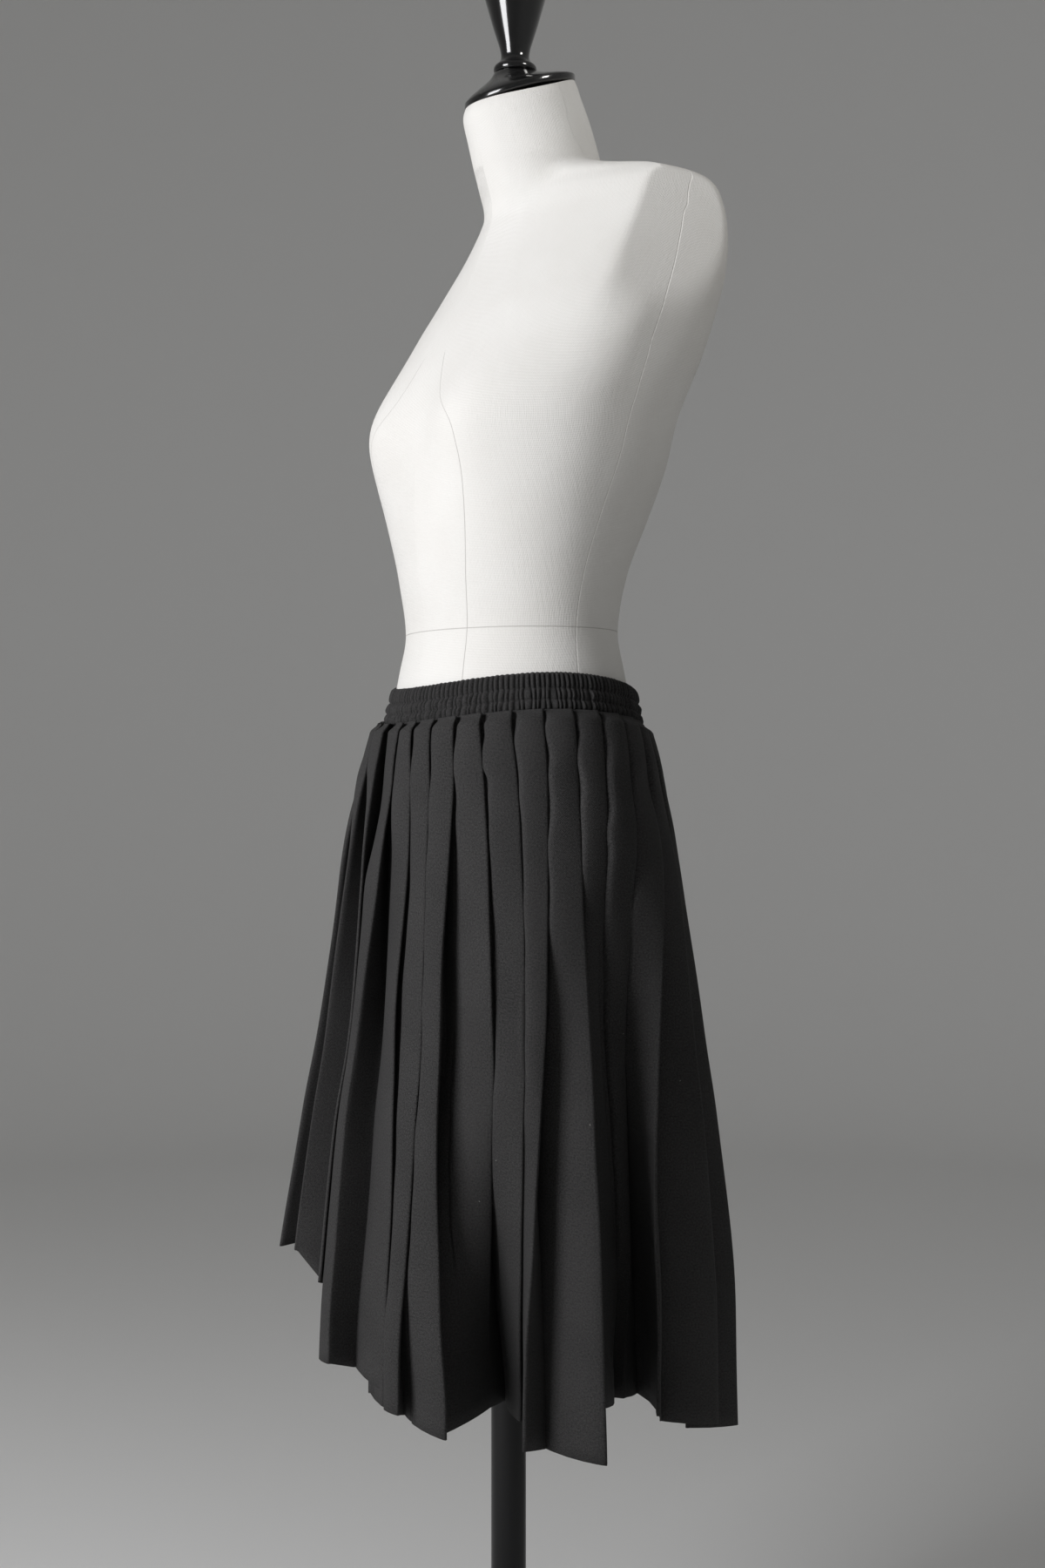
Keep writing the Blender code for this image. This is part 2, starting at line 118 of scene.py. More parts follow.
def weave(tree, coordinates, pitch, slant):
    # fine threads both ways, as a height: the pitch is one thread's width in metres
    turned = addNode(tree, "ShaderNodeMapping", {"Rotation": (0, 0, slant)}, {"Vector": coordinates})
    heights = []
    for direction in ("X", "Y"):
        heights.append(addNode(tree, "ShaderNodeTexWave", {
            "wave_type": "BANDS", "bands_direction": direction, "wave_profile": "SIN",
            "Scale": wavesPerMetre / pitch / 2, "Distortion": 1.4, "Detail": 2.0, "Detail Scale": 1.5,
        }, {"Vector": turned.outputs["Vector"]}).outputs["Fac"])
    crossed = addNode(tree, "ShaderNodeMath", {"operation": "MULTIPLY"}, {0: heights[0], 1: heights[1]})
    return crossed.outputs[0]


# black woven crepe: dull and a little hairy, its twill showing only as a fine tooth in the light
crepeValues = {
    # hollow is the near-black colour of the painted shade in deep folds and gather creases
    "colours": ("#1f1f1f", "#424141"), "colourReach": (0.44, 0.74), "hollow": "#060606",
    "roughness": 0.85, "specular": 0.16, "sheen": 0.02,
    # thread width and depth of the tooth in metres, twill slant in radians, then sizes as noise scales
    "thread": 0.0006, "tooth": 0.0006, "slant": 0.6, "grain": 640.0, "mottle": 9.0, "mottleShare": 0.16,
}


def makeCrepe():
    values = crepeValues
    made, tree, shader = newMaterial("blackWovenCrepe", {
        "Roughness": values["roughness"], "Specular IOR Level": values["specular"],
        "Sheen Weight": values["sheen"], "Sheen Roughness": 0.5})
    uv = addNode(tree, "ShaderNodeUVMap", {"uv_map": "clothMetres"}).outputs["UV"]
    threads = weave(tree, uv, values["thread"], values["slant"])
    mottle = addNode(tree, "ShaderNodeTexNoise", {
        "Scale": values["mottle"], "Detail": 6.0, "Roughness": 0.6}, {"Vector": uv}).outputs["Fac"]
    tooth = addNode(tree, "ShaderNodeTexNoise", {
        "Scale": values["grain"], "Detail": 5.0, "Roughness": 0.8}, {"Vector": uv}).outputs["Fac"]
    grain = addNode(tree, "ShaderNodeMath", {
        "operation": "MULTIPLY_ADD", 1: values["mottleShare"]}, {0: mottle, 2: tooth}).outputs[0]
    colour = shadeBetween(tree, grain, values["colourReach"], values["colours"])
    # painted shade: deep folds and the creases of the gathers are mixed toward a near-black colour, standing
    # in for the shade that falls in them
    hollow = addNode(tree, "ShaderNodeAttribute", {"attribute_name": "hollow"}).outputs["Fac"]
    shaded = addNode(tree, "ShaderNodeMix", {
        "data_type": "RGBA", 7: hexColour(values["hollow"])}, {0: hollow, 6: colour})
    tree.links.new(shaded.outputs[2], shader.inputs["Base Color"])
    both = addNode(tree, "ShaderNodeMath", {"operation": "ADD"}, {0: threads, 1: tooth}).outputs[0]
    bump = addNode(tree, "ShaderNodeBump", {
        "Strength": 0.55, "Distance": values["tooth"]}, {"Height": both})
    tree.links.new(bump.outputs["Normal"], shader.inputs["Normal"])
    return made


# off-white linen stretched over padding: slubs and a plain weave, and seams as fine grooves
linenValues = {
    "colours": ("#d8d6d2", "#e0dfdc"), "colourReach": (0.3, 0.72),
    "roughness": 0.88, "specular": 0.22, "sheen": 0.06,
    # thread width and depth of the weave in metres, then sizes as noise scales
    "thread": 0.0006, "relief": 0.0005, "slubs": 420.0, "slubStretch": 0.12, "blotch": 7.0,
    "threadShare": 0.6, "grooveShare": -3.0, "seamFade": 0.006,
    # seam, half width, where it ends at the top in metres, colour, strength
    "seams": [("seamFront", 0.0005, 1.296, "#8f8c86", 0.5), ("seamSide", 0.0008, 1.463, "#f4f2ee", 0.75),
              ("seamBack", 0.0005, 1.4, "#8f8c86", 0.5), ("seamWaist", 0.0005, 1.2, "#8f8c86", 0.45)],
}


def makeLinen():
    values = linenValues
    made, tree, shader = newMaterial("offWhiteLinen", {
        "Roughness": values["roughness"], "Specular IOR Level": values["specular"],
        "Sheen Weight": values["sheen"]})
    uv = addNode(tree, "ShaderNodeUVMap", {"uv_map": "clothMetres"}).outputs["UV"]
    place = addNode(tree, "ShaderNodeTexCoord").outputs["Object"]
    threads = weave(tree, uv, values["thread"], 0.0)
    stretched = addNode(tree, "ShaderNodeMapping", {
        "Scale": (1.0, values["slubStretch"], 1.0)}, {"Vector": uv}).outputs["Vector"]
    slubs = addNode(tree, "ShaderNodeTexNoise", {
        "Scale": values["slubs"], "Detail": 4.0, "Roughness": 0.65}, {"Vector": stretched}).outputs["Fac"]
    blotch = addNode(tree, "ShaderNodeTexNoise", {
        "Scale": values["blotch"], "Detail": 5.0, "Roughness": 0.55}, {"Vector": place}).outputs["Fac"]
    shown = shadeBetween(tree, blotch, values["colourReach"], values["colours"])
    height = addNode(tree, "ShaderNodeSeparateXYZ", links={"Vector": place}).outputs["Z"]
    groove = None
    for name, width, top, colour, strength in values["seams"]:
        side = addNode(tree, "ShaderNodeAttribute", {"attribute_name": name}).outputs["Fac"]
        away = addNode(tree, "ShaderNodeMath", {"operation": "ABSOLUTE"}, {0: side}).outputs[0]
        line = addNode(tree, "ShaderNodeMapRange", {
            "interpolation_type": "SMOOTHSTEP", "From Min": width * 0.3, "From Max": width,
            "To Min": strength, "To Max": 0.0}, {"Value": away}).outputs["Result"]
        ends = addNode(tree, "ShaderNodeMapRange", {
            "From Min": top, "From Max": top + values["seamFade"], "To Min": 1.0, "To Max": 0.0,
        }, {"Value": height}).outputs["Result"]
        line = addNode(tree, "ShaderNodeMath", {"operation": "MULTIPLY"}, {0: line, 1: ends}).outputs[0]
        shown = addNode(tree, "ShaderNodeMix", {
            "data_type": "RGBA", 7: hexColour(colour)}, {0: line, 6: shown}).outputs[2]
        groove = line if groove is None else addNode(
            tree, "ShaderNodeMath", {"operation": "MAXIMUM"}, {0: groove, 1: line}).outputs[0]
    tree.links.new(shown, shader.inputs["Base Color"])
    fine = addNode(tree, "ShaderNodeMath", {
        "operation": "MULTIPLY_ADD", 1: values["threadShare"]}, {0: threads, 2: slubs}).outputs[0]
    grooved = addNode(tree, "ShaderNodeMath", {
        "operation": "MULTIPLY_ADD", 1: values["grooveShare"]}, {0: groove, 2: fine}).outputs[0]
    bump = addNode(tree, "ShaderNodeBump", {
        "Strength": 0.6, "Distance": values["relief"]}, {"Height": grooved})
    tree.links.new(bump.outputs["Normal"], shader.inputs["Normal"])
    return made


# black gloss lacquer over turned wood: deep, with long soft highlights and faint dust
lacquerValues = {
    "colour": "#080809", "specular": 0.5, "coat": 0.8, "coatRoughness": 0.06, "roughness": (0.10, 0.24),
    # noise scales, and the ripple's depth in metres
    "haze": 60.0, "ripple": 25.0, "rippleDepth": 0.0006,
}


def makeLacquer():
    values = lacquerValues
    made, tree, shader = newMaterial("blackGlossLacquer", {
        "Base Color": hexColour(values["colour"]), "Specular IOR Level": values["specular"],
        "Coat Weight": values["coat"], "Coat Roughness": values["coatRoughness"]})
    place = addNode(tree, "ShaderNodeTexCoord").outputs["Object"]
    haze = addNode(tree, "ShaderNodeTexNoise", {
        "Scale": values["haze"], "Detail": 5.0, "Roughness": 0.6}, {"Vector": place})
    low, high = values["roughness"]
    rough = addNode(tree, "ShaderNodeMapRange", {
        "To Min": low, "To Max": high}, {"Value": haze.outputs["Fac"]})
    tree.links.new(rough.outputs["Result"], shader.inputs["Roughness"])
    ripple = addNode(tree, "ShaderNodeTexNoise", {
        "Scale": values["ripple"], "Detail": 1.0}, {"Vector": place})
    bump = addNode(tree, "ShaderNodeBump", {
        "Strength": 0.08, "Distance": values["rippleDepth"]}, {"Height": ripple.outputs["Fac"]})
    tree.links.new(bump.outputs["Normal"], shader.inputs["Normal"])
    return made


# satin black powder coat on steel: even, with a very fine pebble, given as a noise scale
satinValues = {"colour": "#070708", "specular": 0.3, "roughness": (0.24, 0.38), "pebbleDepth": 0.00015}


def makeSatin(name, pebble):
    values = satinValues
    made, tree, shader = newMaterial(name, {
        "Base Color": hexColour(values["colour"]), "Specular IOR Level": values["specular"]})
    place = addNode(tree, "ShaderNodeTexCoord").outputs["Object"]
    grain = addNode(tree, "ShaderNodeTexNoise", {
        "Scale": pebble, "Detail": 3.0, "Roughness": 0.6}, {"Vector": place})
    low, high = values["roughness"]
    rough = addNode(tree, "ShaderNodeMapRange", {
        "To Min": low, "To Max": high}, {"Value": grain.outputs["Fac"]})
    tree.links.new(rough.outputs["Result"], shader.inputs["Roughness"])
    bump = addNode(tree, "ShaderNodeBump", {
        "Strength": 0.25, "Distance": values["pebbleDepth"]}, {"Height": grain.outputs["Fac"]})
    tree.links.new(bump.outputs["Normal"], shader.inputs["Normal"])
    return made


# twisted thread, for the stitches and the lint: a touch shinier than the cloth
threadValues = {"roughness": 0.55, "sheen": 0.2, "twist": 900.0, "twistDepth": 0.0001}


def makeThread(name, colour):
    values = threadValues
    made, tree, shader = newMaterial(name, {
        "Base Color": hexColour(colour), "Roughness": values["roughness"], "Sheen Weight": values["sheen"]})
    place = addNode(tree, "ShaderNodeTexCoord").outputs["Object"]
    twist = addNode(tree, "ShaderNodeTexWave", {
        "Scale": values["twist"], "bands_direction": "DIAGONAL"}, {"Vector": place})
    bump = addNode(tree, "ShaderNodeBump", {
        "Strength": 0.4, "Distance": values["twistDepth"]}, {"Height": twist.outputs["Fac"]})
    tree.links.new(bump.outputs["Normal"], shader.inputs["Normal"])
    return made


crepe = makeCrepe()
linen = makeLinen()
lacquer = makeLacquer()
poleFinish = makeSatin("satinPowderCoatPole", 900.0)
baseFinish = makeSatin("satinPowderCoatBase", 700.0)
blackThread = makeThread("blackSewingThread", "#1d1d1f")
lint = makeThread("paleLint", "#8f8d89")
print("materials ready")


# meshes

def addPiece(name, bm, finish):
    data = bpy.data.meshes.new(name)
    bm.to_mesh(data)
    bm.free()
    data.materials.append(finish)
    data.shade_smooth()
    made = bpy.data.objects.new(name, data)
    scene.collection.objects.link(made)
    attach(made, "root")
    return made


def gridSheet(places, uvs, closed=False, attributes=None):
    # a grid whose vertices are moved to places[row][column], with cloth coordinates in metres
    rows, columns = places.shape[:2]
    bm = bmesh.new()
    bmesh.ops.create_grid(bm, x_segments=columns - 1, y_segments=rows - 1, size=1.0)
    layer = bm.loops.layers.uv.new("clothMetres")
    layers = {key: bm.verts.layers.float.new(key) for key in (attributes or {})}
    index = {}
    for vert in bm.verts:
        column = round((vert.co.x + 1) / 2 * (columns - 1))
        row = round((vert.co.y + 1) / 2 * (rows - 1))
        index[vert] = row, column
    for vert, (row, column) in index.items():
        vert.co = places[row, column]
        for key, values in (attributes or {}).items():
            vert[layers[key]] = float(values[row, column])
    for face in bm.faces:
        for loop in face.loops:
            loop[layer].uv = uvs[index[loop.vert]]
    if closed:
        bmesh.ops.remove_doubles(bm, verts=bm.verts, dist=0.00001)
    return bm


def closeEnds(bm):
    bmesh.ops.holes_fill(bm, edges=[edge for edge in bm.edges if edge.is_boundary], sides=0)
    bmesh.ops.recalc_face_normals(bm, faces=bm.faces)


def toWorld(side, forward, height):
    # millimetres toward the wearer's left, forward and up, to the scene's metres
    return np.stack([side * mm, -forward * mm, height * mm], axis=-1)


# dress form: the padded torso

torsoValues = {
    "columns": 220,
    # height, half width, forward place of the widest point, front, back, squareness front and back
    "rows": [
        (796, 143, 0, 97, 103, 2.0, 2.0),
        (860, 146, 0, 99, 106, 2.0, 2.0),
        (915, 144, 0, 99, 106, 2.0, 2.0),
        (950, 141.5, 0, 101, 105, 2.0, 2.0),
        (972, 137.4, 0, 100.4, 102.4, 2.0, 2.0),
        (994, 132, 0, 96, 99.5, 2.0, 2.0),
        (1016, 126.5, 0, 92, 96, 2.0, 2.0),
        (1050, 118, 0, 87, 92, 2.0, 2.0),
        (1100, 125, 0, 93, 98, 2.0, 2.1),
        (1150, 141, -3, 97, 114, 2.1, 2.2),
        (1195, 155, -8, 96, 120, 2.2, 2.6),
        (1240, 164, -14, 94, 124, 2.2, 2.9),
        (1285, 171, -28, 82, 133, 2.0, 3.6),
        (1330, 176, -44, 62, 136, 1.9, 5.0),
        (1365, 178, -56, 44, 138, 1.7, 6.4),
        (1400, 178, -64, 28, 138, 1.42, 6.8),
        (1428, 173, -69, 18, 137, 1.25, 6.0),
        (1448, 163, -70, 14, 133, 1.15, 4.5),
        (1461, 134, -66, 12, 121, 1.15, 3.0),
        (1472, 84, -54, 10, 98, 1.4, 2.0),
        (1484, 46, -42, 4, 74, 1.8, 2.0),
        (1500, 30, -30, -4, 52, 2.0, 2.0),
        (1560, 25, -14, 8, 34, 2.0, 2.0),
    ],
    # lowest and highest height of a stretch of rings and the step between them
    "rings": [(796, 1400, 6.0), (1400, 1440, 3.0), (1440, 1486, 1.5), (1486, 1547, 3.0), (1547, 1548, 3.0)],
    # height of a ring's centre, forward place, radius and tilt: the neck stands in the shoulders
    "neck": [(1400, -52, 56.0, 0), (1440, -42, 58.0, 0), (1470, -34, 59.0, 0), (1485, -30.2, 58.6, 4),
             (1513, -21.6, 56.3, 10), (1533, -14.5, 54.0, 14), (1541, -12.6, 52.6, 16),
             (1547, -11.9, 50.4, 17)],
    # how soft the crease round the neck is, and the heights between which crease and neck come in
    "neckSoft": 7.0, "creaseFrom": (1405, 1440), "neckFrom": (1400, 1425), "tiltFrom": 1470,
    # the flat end of the arm: height, side and forward place of its front edge
    "armEdge": [(1300, 163, -2), (1343, 160, -11), (1370, 156, -22), (1400, 152, -35), (1440, 148, -54),
                (1470, 146, -66)],
    "armEnd": {"slope": 0.2, "soft": 6.0, "low": (1306, 1352), "high": (1450, 1464)},
    "bust": {"height": 1236, "apart": 88, "rise": 19, "spread": 50, "tall": 62},
    # seams as height and azimuth, on the wearer's left; they are mirrored to the right
    "seamFront": [(1304, 6), (1257, 14.5), (1229, 25.5), (1206, 28.5), (1170, 30), (1096, 31), (1009, 29),
                  (900, 29)],
    "seamSide": [(1470, 102), (1450, 99.2), (1440, 94.3), (1430, 92.3), (1416, 91.4), (1400, 91.15),
                 (1365, 90.9), (1330, 90.9), (1303, 91.1), (1285, 91.5), (1265, 92.5), (1244, 93.5),
                 (1206, 93.9), (1140, 94), (1050, 90.5), (1010, 88), (900, 88)],
    "seamBack": [(1400, 152), (1300, 150), (1200, 148), (1100, 146), (1050, 146), (1010, 147), (900, 148)],
    "waistSeam": 1050, "sharpDegrees": 50,
}


def signedPower(value, power):
    return np.sign(value) * np.abs(value) ** power


def torsoRing(azimuth, height):
    halfWidth, widest, front, back, squareFront, squareBack = tableColumns(torsoValues["rows"], height)
    angle = np.radians(azimuth)
    ahead = np.cos(angle) >= 0
    square = np.where(ahead, squareFront, squareBack)
    depth = np.where(ahead, front - widest, back + widest)
    side = halfWidth * signedPower(np.sin(angle), 2 / square)
    forward = widest + depth * signedPower(np.cos(angle), 2 / square)
    bust = torsoValues["bust"]
    across = np.exp(-(((np.abs(side) - bust["apart"]) / bust["spread"]) ** 2))
    up = np.exp(-(((height - bust["height"]) / bust["tall"]) ** 2))
    rise = bust["rise"] * across * up * np.sqrt(np.clip(np.cos(angle), 0, 1))
    forward = forward + np.where(ahead, rise, 0)
    arm = torsoValues["armEnd"]
    shown = smoothStep(*arm["low"], height) * (1 - smoothStep(*arm["high"], height))
    edgeSide, edgeForward = tableColumns(torsoValues["armEdge"], height)
    over = np.abs(side) - edgeSide - (edgeForward - forward) * arm["slope"]
    blend = np.clip(0.5 + 0.5 * over / arm["soft"], 0, 1)
    pressed = over * blend + arm["soft"] * blend * (1 - blend)
    return side - np.sign(side) * pressed * shown, forward


def makeTorso():
    values, columns = torsoValues, torsoValues["columns"]
    azimuths = np.linspace(0, 360, columns + 1)
    places = []
    for level in np.concatenate([np.arange(*stretch) for stretch in values["rings"]]):
        centre, radius, tilt = (float(value) for value in tableColumns(values["neck"], level))
        fall = math.tan(math.radians(tilt)) if level > values["tiltFrom"] else 0.0
        height = level - fall * radius * np.cos(np.radians(azimuths))
        side, forward = torsoRing(azimuths, np.full_like(azimuths, level))
        # where the shoulders are narrower than the neck, the neck shows, with a soft crease between
        ahead = forward - centre
        apart = np.maximum(np.hypot(side, ahead), 0.01)
        soft = values["neckSoft"] * float(smoothStep(*values["creaseFrom"], level)) + 0.01
        blend = np.clip(0.5 + 0.5 * (apart - radius) / soft, 0, 1)
        reach = radius + (apart - radius) * blend + soft * blend * (1 - blend)
        reach = apart + (reach - apart) * float(smoothStep(*values["neckFrom"], level))
        places.append(np.stack([side / apart * reach, centre + ahead / apart * reach, height], axis=-1))
    places = np.array(places)
    places[:, -1] = places[:, 0]
    stepsAlong = np.linalg.norm(np.diff(places, axis=0), axis=-1)
    along = np.vstack([np.zeros(columns + 1), np.cumsum(stepsAlong, axis=0)]) * mm
    stepsAcross = np.linalg.norm(np.diff(places, axis=1), axis=-1)
    across = np.hstack([np.zeros((len(places), 1)), np.cumsum(stepsAcross, axis=1)]) * mm
    heights = places[:, :, 2]
    # signed distance from each seam in metres, the same on both sides of the body
    folded = np.minimum(across, across[:, -1:] - across)
    ring = np.arange(len(places))[:, None]
    seams = {"seamWaist": (heights - values["waistSeam"]) * mm}
    for key in ("seamFront", "seamSide", "seamBack"):
        column = tableColumns(values[key], heights)[0] / 360 * columns
        base = np.clip(column.astype(int), 0, columns - 1)
        step = across[ring, base + 1] - across[ring, base]
        seams[key] = folded - (across[ring, base] + (column - base) * step)
    bm = gridSheet(toWorld(*places.transpose(2, 0, 1)), np.stack([across, along], axis=-1), closed=True,
                   attributes=seams)
    closeEnds(bm)
    made = addPiece("formCover", bm, linen)
    made.data.set_sharp_from_angle(angle=math.radians(values["sharpDegrees"]))
    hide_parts("form_torso")
    return made


formCover = makeTorso()
print("form ready:", len(formCover.data.polygons), "faces")


# turned pieces: neck cap, finial, pole and base, as height and radius

turnedValues = {
    "steps": 128, "sharpDegrees": 50, "finialForward": -7.0, "capTop": 1566.1,
    "finial": [(0.0, 18.0), (1.2, 19.4), (3.2, 20.0), (5.4, 19.6), (7.2, 18.4), (8.6, 16.4), (10.2, 14.8),
               (12.4, 13.5), (14.8, 13.0), (18.0, 13.2), (24.0, 14.4), (32.0, 17.0), (40.0, 19.6),
               (48.0, 22.0), (64.0, 26.6), (80.0, 31.0), (96.0, 35.0), (104.0, 36.6), (109.0, 37.0),
               (113.0, 36.6), (117.0, 34.8), (120.0, 31.6), (123.0, 26.0), (125.2, 18.0), (126.0, 9.0),
               (126.0, 0.0)],
    "base": [(0.2, 0.0), (0.0, 183.0), (0.4, 184.4), (1.4, 185.0), (6.6, 185.0), (8.2, 184.2), (9.0, 182.4),
             (9.3, 180.0), (12.6, 110.0), (15.6, 45.0), (16.2, 38.0), (17.2, 32.0), (19.4, 28.0),
             (22.0, 27.0), (55.4, 26.2), (57.0, 25.6), (58.0, 24.2), (58.0, 16.2)],
    "pole": [(58.3, 15.9), (58.6, 16.0), (795.4, 16.0), (795.7, 15.9)],
}


def makeTurned(name, key, forward, raised, finish, node):
    bm = bmesh.new()
    verts = [bm.verts.new((r * mm, -forward * mm, (h + raised) * mm)) for h, r in turnedValues[key]]
    edges = [bm.edges.new(pair) for pair in zip(verts, verts[1:])]
    bmesh.ops.spin(bm, geom=verts + edges, cent=(0, -forward * mm, 0), axis=(0, 0, 1), angle=math.tau,
                   steps=turnedValues["steps"], use_merge=True)
    bmesh.ops.remove_doubles(bm, verts=bm.verts, dist=0.00001)
    closeEnds(bm)
    made = addPiece(name, bm, finish)
    made.data.set_sharp_from_angle(angle=math.radians(turnedValues["sharpDegrees"]))
    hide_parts(node)


makeTurned("turnedFinial", "finial", turnedValues["finialForward"], turnedValues["capTop"], lacquer,
           "finial")
makeTurned("roundBase", "base", 0, 0, baseFinish, "stand_base")
makeTurned("pole", "pole", 0, 0, poleFinish, "stand_pole")

capValues = {
    "columns": 128, "sharpDegrees": 60, "height": 1547.3, "forward": -12, "tilt": 17,
    # rise above the neck, radius, share of the tilt
    "steps": [(0.0, 40.0, 1.0), (0.0, 50.2, 1.0), (0.4, 50.7, 1.0), (1.0, 50.9, 1.0), (4.4, 50.9, 1.0),
              (5.3, 50.5, 1.0), (6.2, 49.6, 1.0), (7.1, 48.2, 0.97), (8.6, 44.4, 0.9), (10.3, 39.0, 0.79),
              (12.2, 33.0, 0.66), (14.4, 27.4, 0.5), (16.4, 23.2, 0.3), (18.0, 20.6, 0.08),
              (18.4, 19.4, 0.0), (18.4, 6.0, 0.0)],
}


def makeCap():
    values = capValues
    angles = np.linspace(0, math.tau, values["columns"] + 1)
    rows = []
    for rise, radius, tilted in values["steps"]:
        ahead = radius * np.cos(angles)
        centre = values["forward"] + (turnedValues["finialForward"] - values["forward"]) * (1 - tilted)
        fall = math.tan(math.radians(values["tilt"] * tilted))
        height = values["height"] + rise - ahead * fall
        rows.append(toWorld(radius * np.sin(angles), centre + ahead, height))
    places = np.array(rows)
    bm = gridSheet(places, np.zeros(places.shape[:2] + (2,)), closed=True)
    closeEnds(bm)
    made = addPiece("neckCap", bm, lacquer)
    made.data.set_sharp_from_angle(angle=math.radians(values["sharpDegrees"]))
    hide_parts("neck_cap")


makeCap()
print("stand ready")


# pleated cloth, in millimetres and degrees round the wearer, from the front to the wearer's left

skirtValues = {
    "pleats": 31, "face": 59.5, "back": 30.5, "cloth": 0.8, "foldGap": 2.0, "meanDepth": 8.0,
    # narrowest angles of the folds, where a fold counts as turned over, and the step that opens it
    "leastOuter": 7.6, "leastInner": 7.2, "mostOuter": 300, "openStep": 0.5, "openSteps": 300,
    # heights at which the folds are solved, and how far they are eased along them
    "levels": (320, 988, 8), "easeReach": 3, "easeWidth": 1.3, "warmUp": 8,
    # rows of vertices down the cloth, closer together at the top
    "rows": 96, "rowsEven": 0.12, "rowsPower": 2.2,
    # the line where the band ends: its height, its rise at both sides, its fall to the back
    "seam": {"height": 971.0, "sides": 6.5, "sidesAt": 80, "front": 2.2, "frontAt": -30}, "underBand": 0.8,
    # height, half width and half depth of the outer folds' outline
    "outline": [(300, 230, 206), (448, 226, 203), (520, 222, 196), (619, 211, 181), (683, 203, 168),
                (762, 193, 156), (860, 180, 141), (921, 167, 128), (952, 155, 118.5), (964, 150.5, 115.5),
                (979, 146.8, 112.8)],
    "azimuthHeights": (970, 860, 720, 555, 400),
    # azimuth of an outer fold at those heights, how far it sinks in at the last three, its hem
    "pleatRows": [
        (-22, -18, -14, -11, -10, 0, 0, 0, 503),
        (-11, -5, 1, 5, 7, 0, -3, -6, 492),
        (1.5, 6.5, 6, 10.5, 12.5, 0, -3, -6, 419),
        (10, 18, 20, 26, 26.5, 0, 2, 5, 403),
        (20, 25.5, 29, 31.5, 31, 0, 1, 3, 387),
        (30.5, 34.3, 35.2, 39, 42.5, 0, 3, 8, 371),
        (41.5, 46.5, 50, 50, 46.5, 2, 38, 86, 386),
        (54, 57.5, 59.5, 59.5, 59, 1, 22, 60, 379),
        (67, 66.5, 65.5, 63, 60.5, 0, 12, 32, 361),
        (80, 78, 78.5, 79.5, 81, 0, 4, 10, 350),
        (93, 88, 88, 93, 100, 26, 46, 82, 380),
        (106, 101, 98, 99, 104, 26, 46, 70, 381),
        (118, 115, 105, 99, 102.5, 2, 14, 30, 375),
        (130, 129, 124, 124, 128, 0, 7, 16, 351),
        (142, 141, 140, 140.5, 141.5, 0, 2, 4, 337),
        (153, 153, 154, 155, 156, 0, 0, 0, 334),
        (164, 165, 166, 168, 169, 0, 3, 6, 342),
        (175, 176, 178, 180, 181, 0, 0, 0, 352),
        (186, 187, 190, 193, 194, 0, 4, 9, 364),
        (197, 199, 202, 206, 207, 2, 12, 24, 380),
        (208, 211, 214, 219, 221, 0, 0, 0, 392),
        (219, 222, 226, 231, 233, 0, 0, 0, 406),
        (231, 234, 238, 243, 246, 0, 3, 8, 422),
        (244, 246, 250, 255, 258, 0, 0, 0, 438),
        (257, 258, 262, 266, 269, 2, 14, 30, 456),
        (270, 271, 274, 278, 280, 0, 5, 10, 468),
        (283, 284, 286, 290, 292, 0, 0, 0, 482),
        (295, 296, 298, 302, 304, 0, 3, 8, 494),
        (306, 308, 310, 314, 316, 0, 0, 0, 502),
        (317, 319, 322, 326, 328, 2, 10, 22, 508),
        (328, 330, 333, 337, 339, 0, -4, -9, 507),
    ],
    "hemStep": 2, "sideSeam": 25,
    # pleat: how far its own hem and the hem of the fold inside it differ from the even cut
    "hemMoves": {0: (-5, -22), 1: (-8, 0), 5: (0, -8), 6: (-8, 0), 7: (-4, 0), 8: (-3, 0), 9: (0, 25),
                 30: (-14, 0)},
    # pleat, degrees that the fold inside it moves round, at which height and over what half height
    "innerMoves": [(9, -3.4, 400, 170), (5, -3.4, 800, 120), (2, -3.0, 830, 80), (6, -1.5, 760, 120)],
    # shares of a return where the cloth has columns
    "backShares": (0.03, 0.15, 0.45, 0.80, 0.97),
}
levels = np.arange(*skirtValues["levels"])


def bandBottom(azimuth):
    seam = skirtValues["seam"]
    sides = seam["sides"] * np.cos(np.radians(2 * (azimuth - seam["sidesAt"])))
    return seam["height"] + sides + seam["front"] * np.cos(np.radians(azimuth - seam["frontAt"]))


def outlineAt(height):
    return tableColumns(skirtValues["outline"], height)


def clothPlace(azimuth, height, depth):
    # a place a depth inside the outline, as side and forward
    halfWidth, halfDepth = outlineAt(height)
    angle = np.radians(azimuth)
    side, ahead = halfDepth * np.sin(angle), halfWidth * np.cos(angle)
    length = np.hypot(side, ahead)
    across = halfWidth * np.sin(angle) - depth * side / length
    return across, halfDepth * np.cos(angle) - depth * ahead / length


def bendRadius(azimuth, halfWidth, halfDepth):
    angle = math.radians(azimuth)
    rate = math.hypot(halfWidth * math.cos(angle), halfDepth * math.sin(angle))
    return rate**3 / (halfWidth * halfDepth)


def heading(vector):
    return math.atan2(vector[1], vector[0])


def unit(vector):
    return vector / max(np.linalg.norm(vector), 1e-9)


def innerSide(direction):
    return np.array((direction[1], -direction[0]))


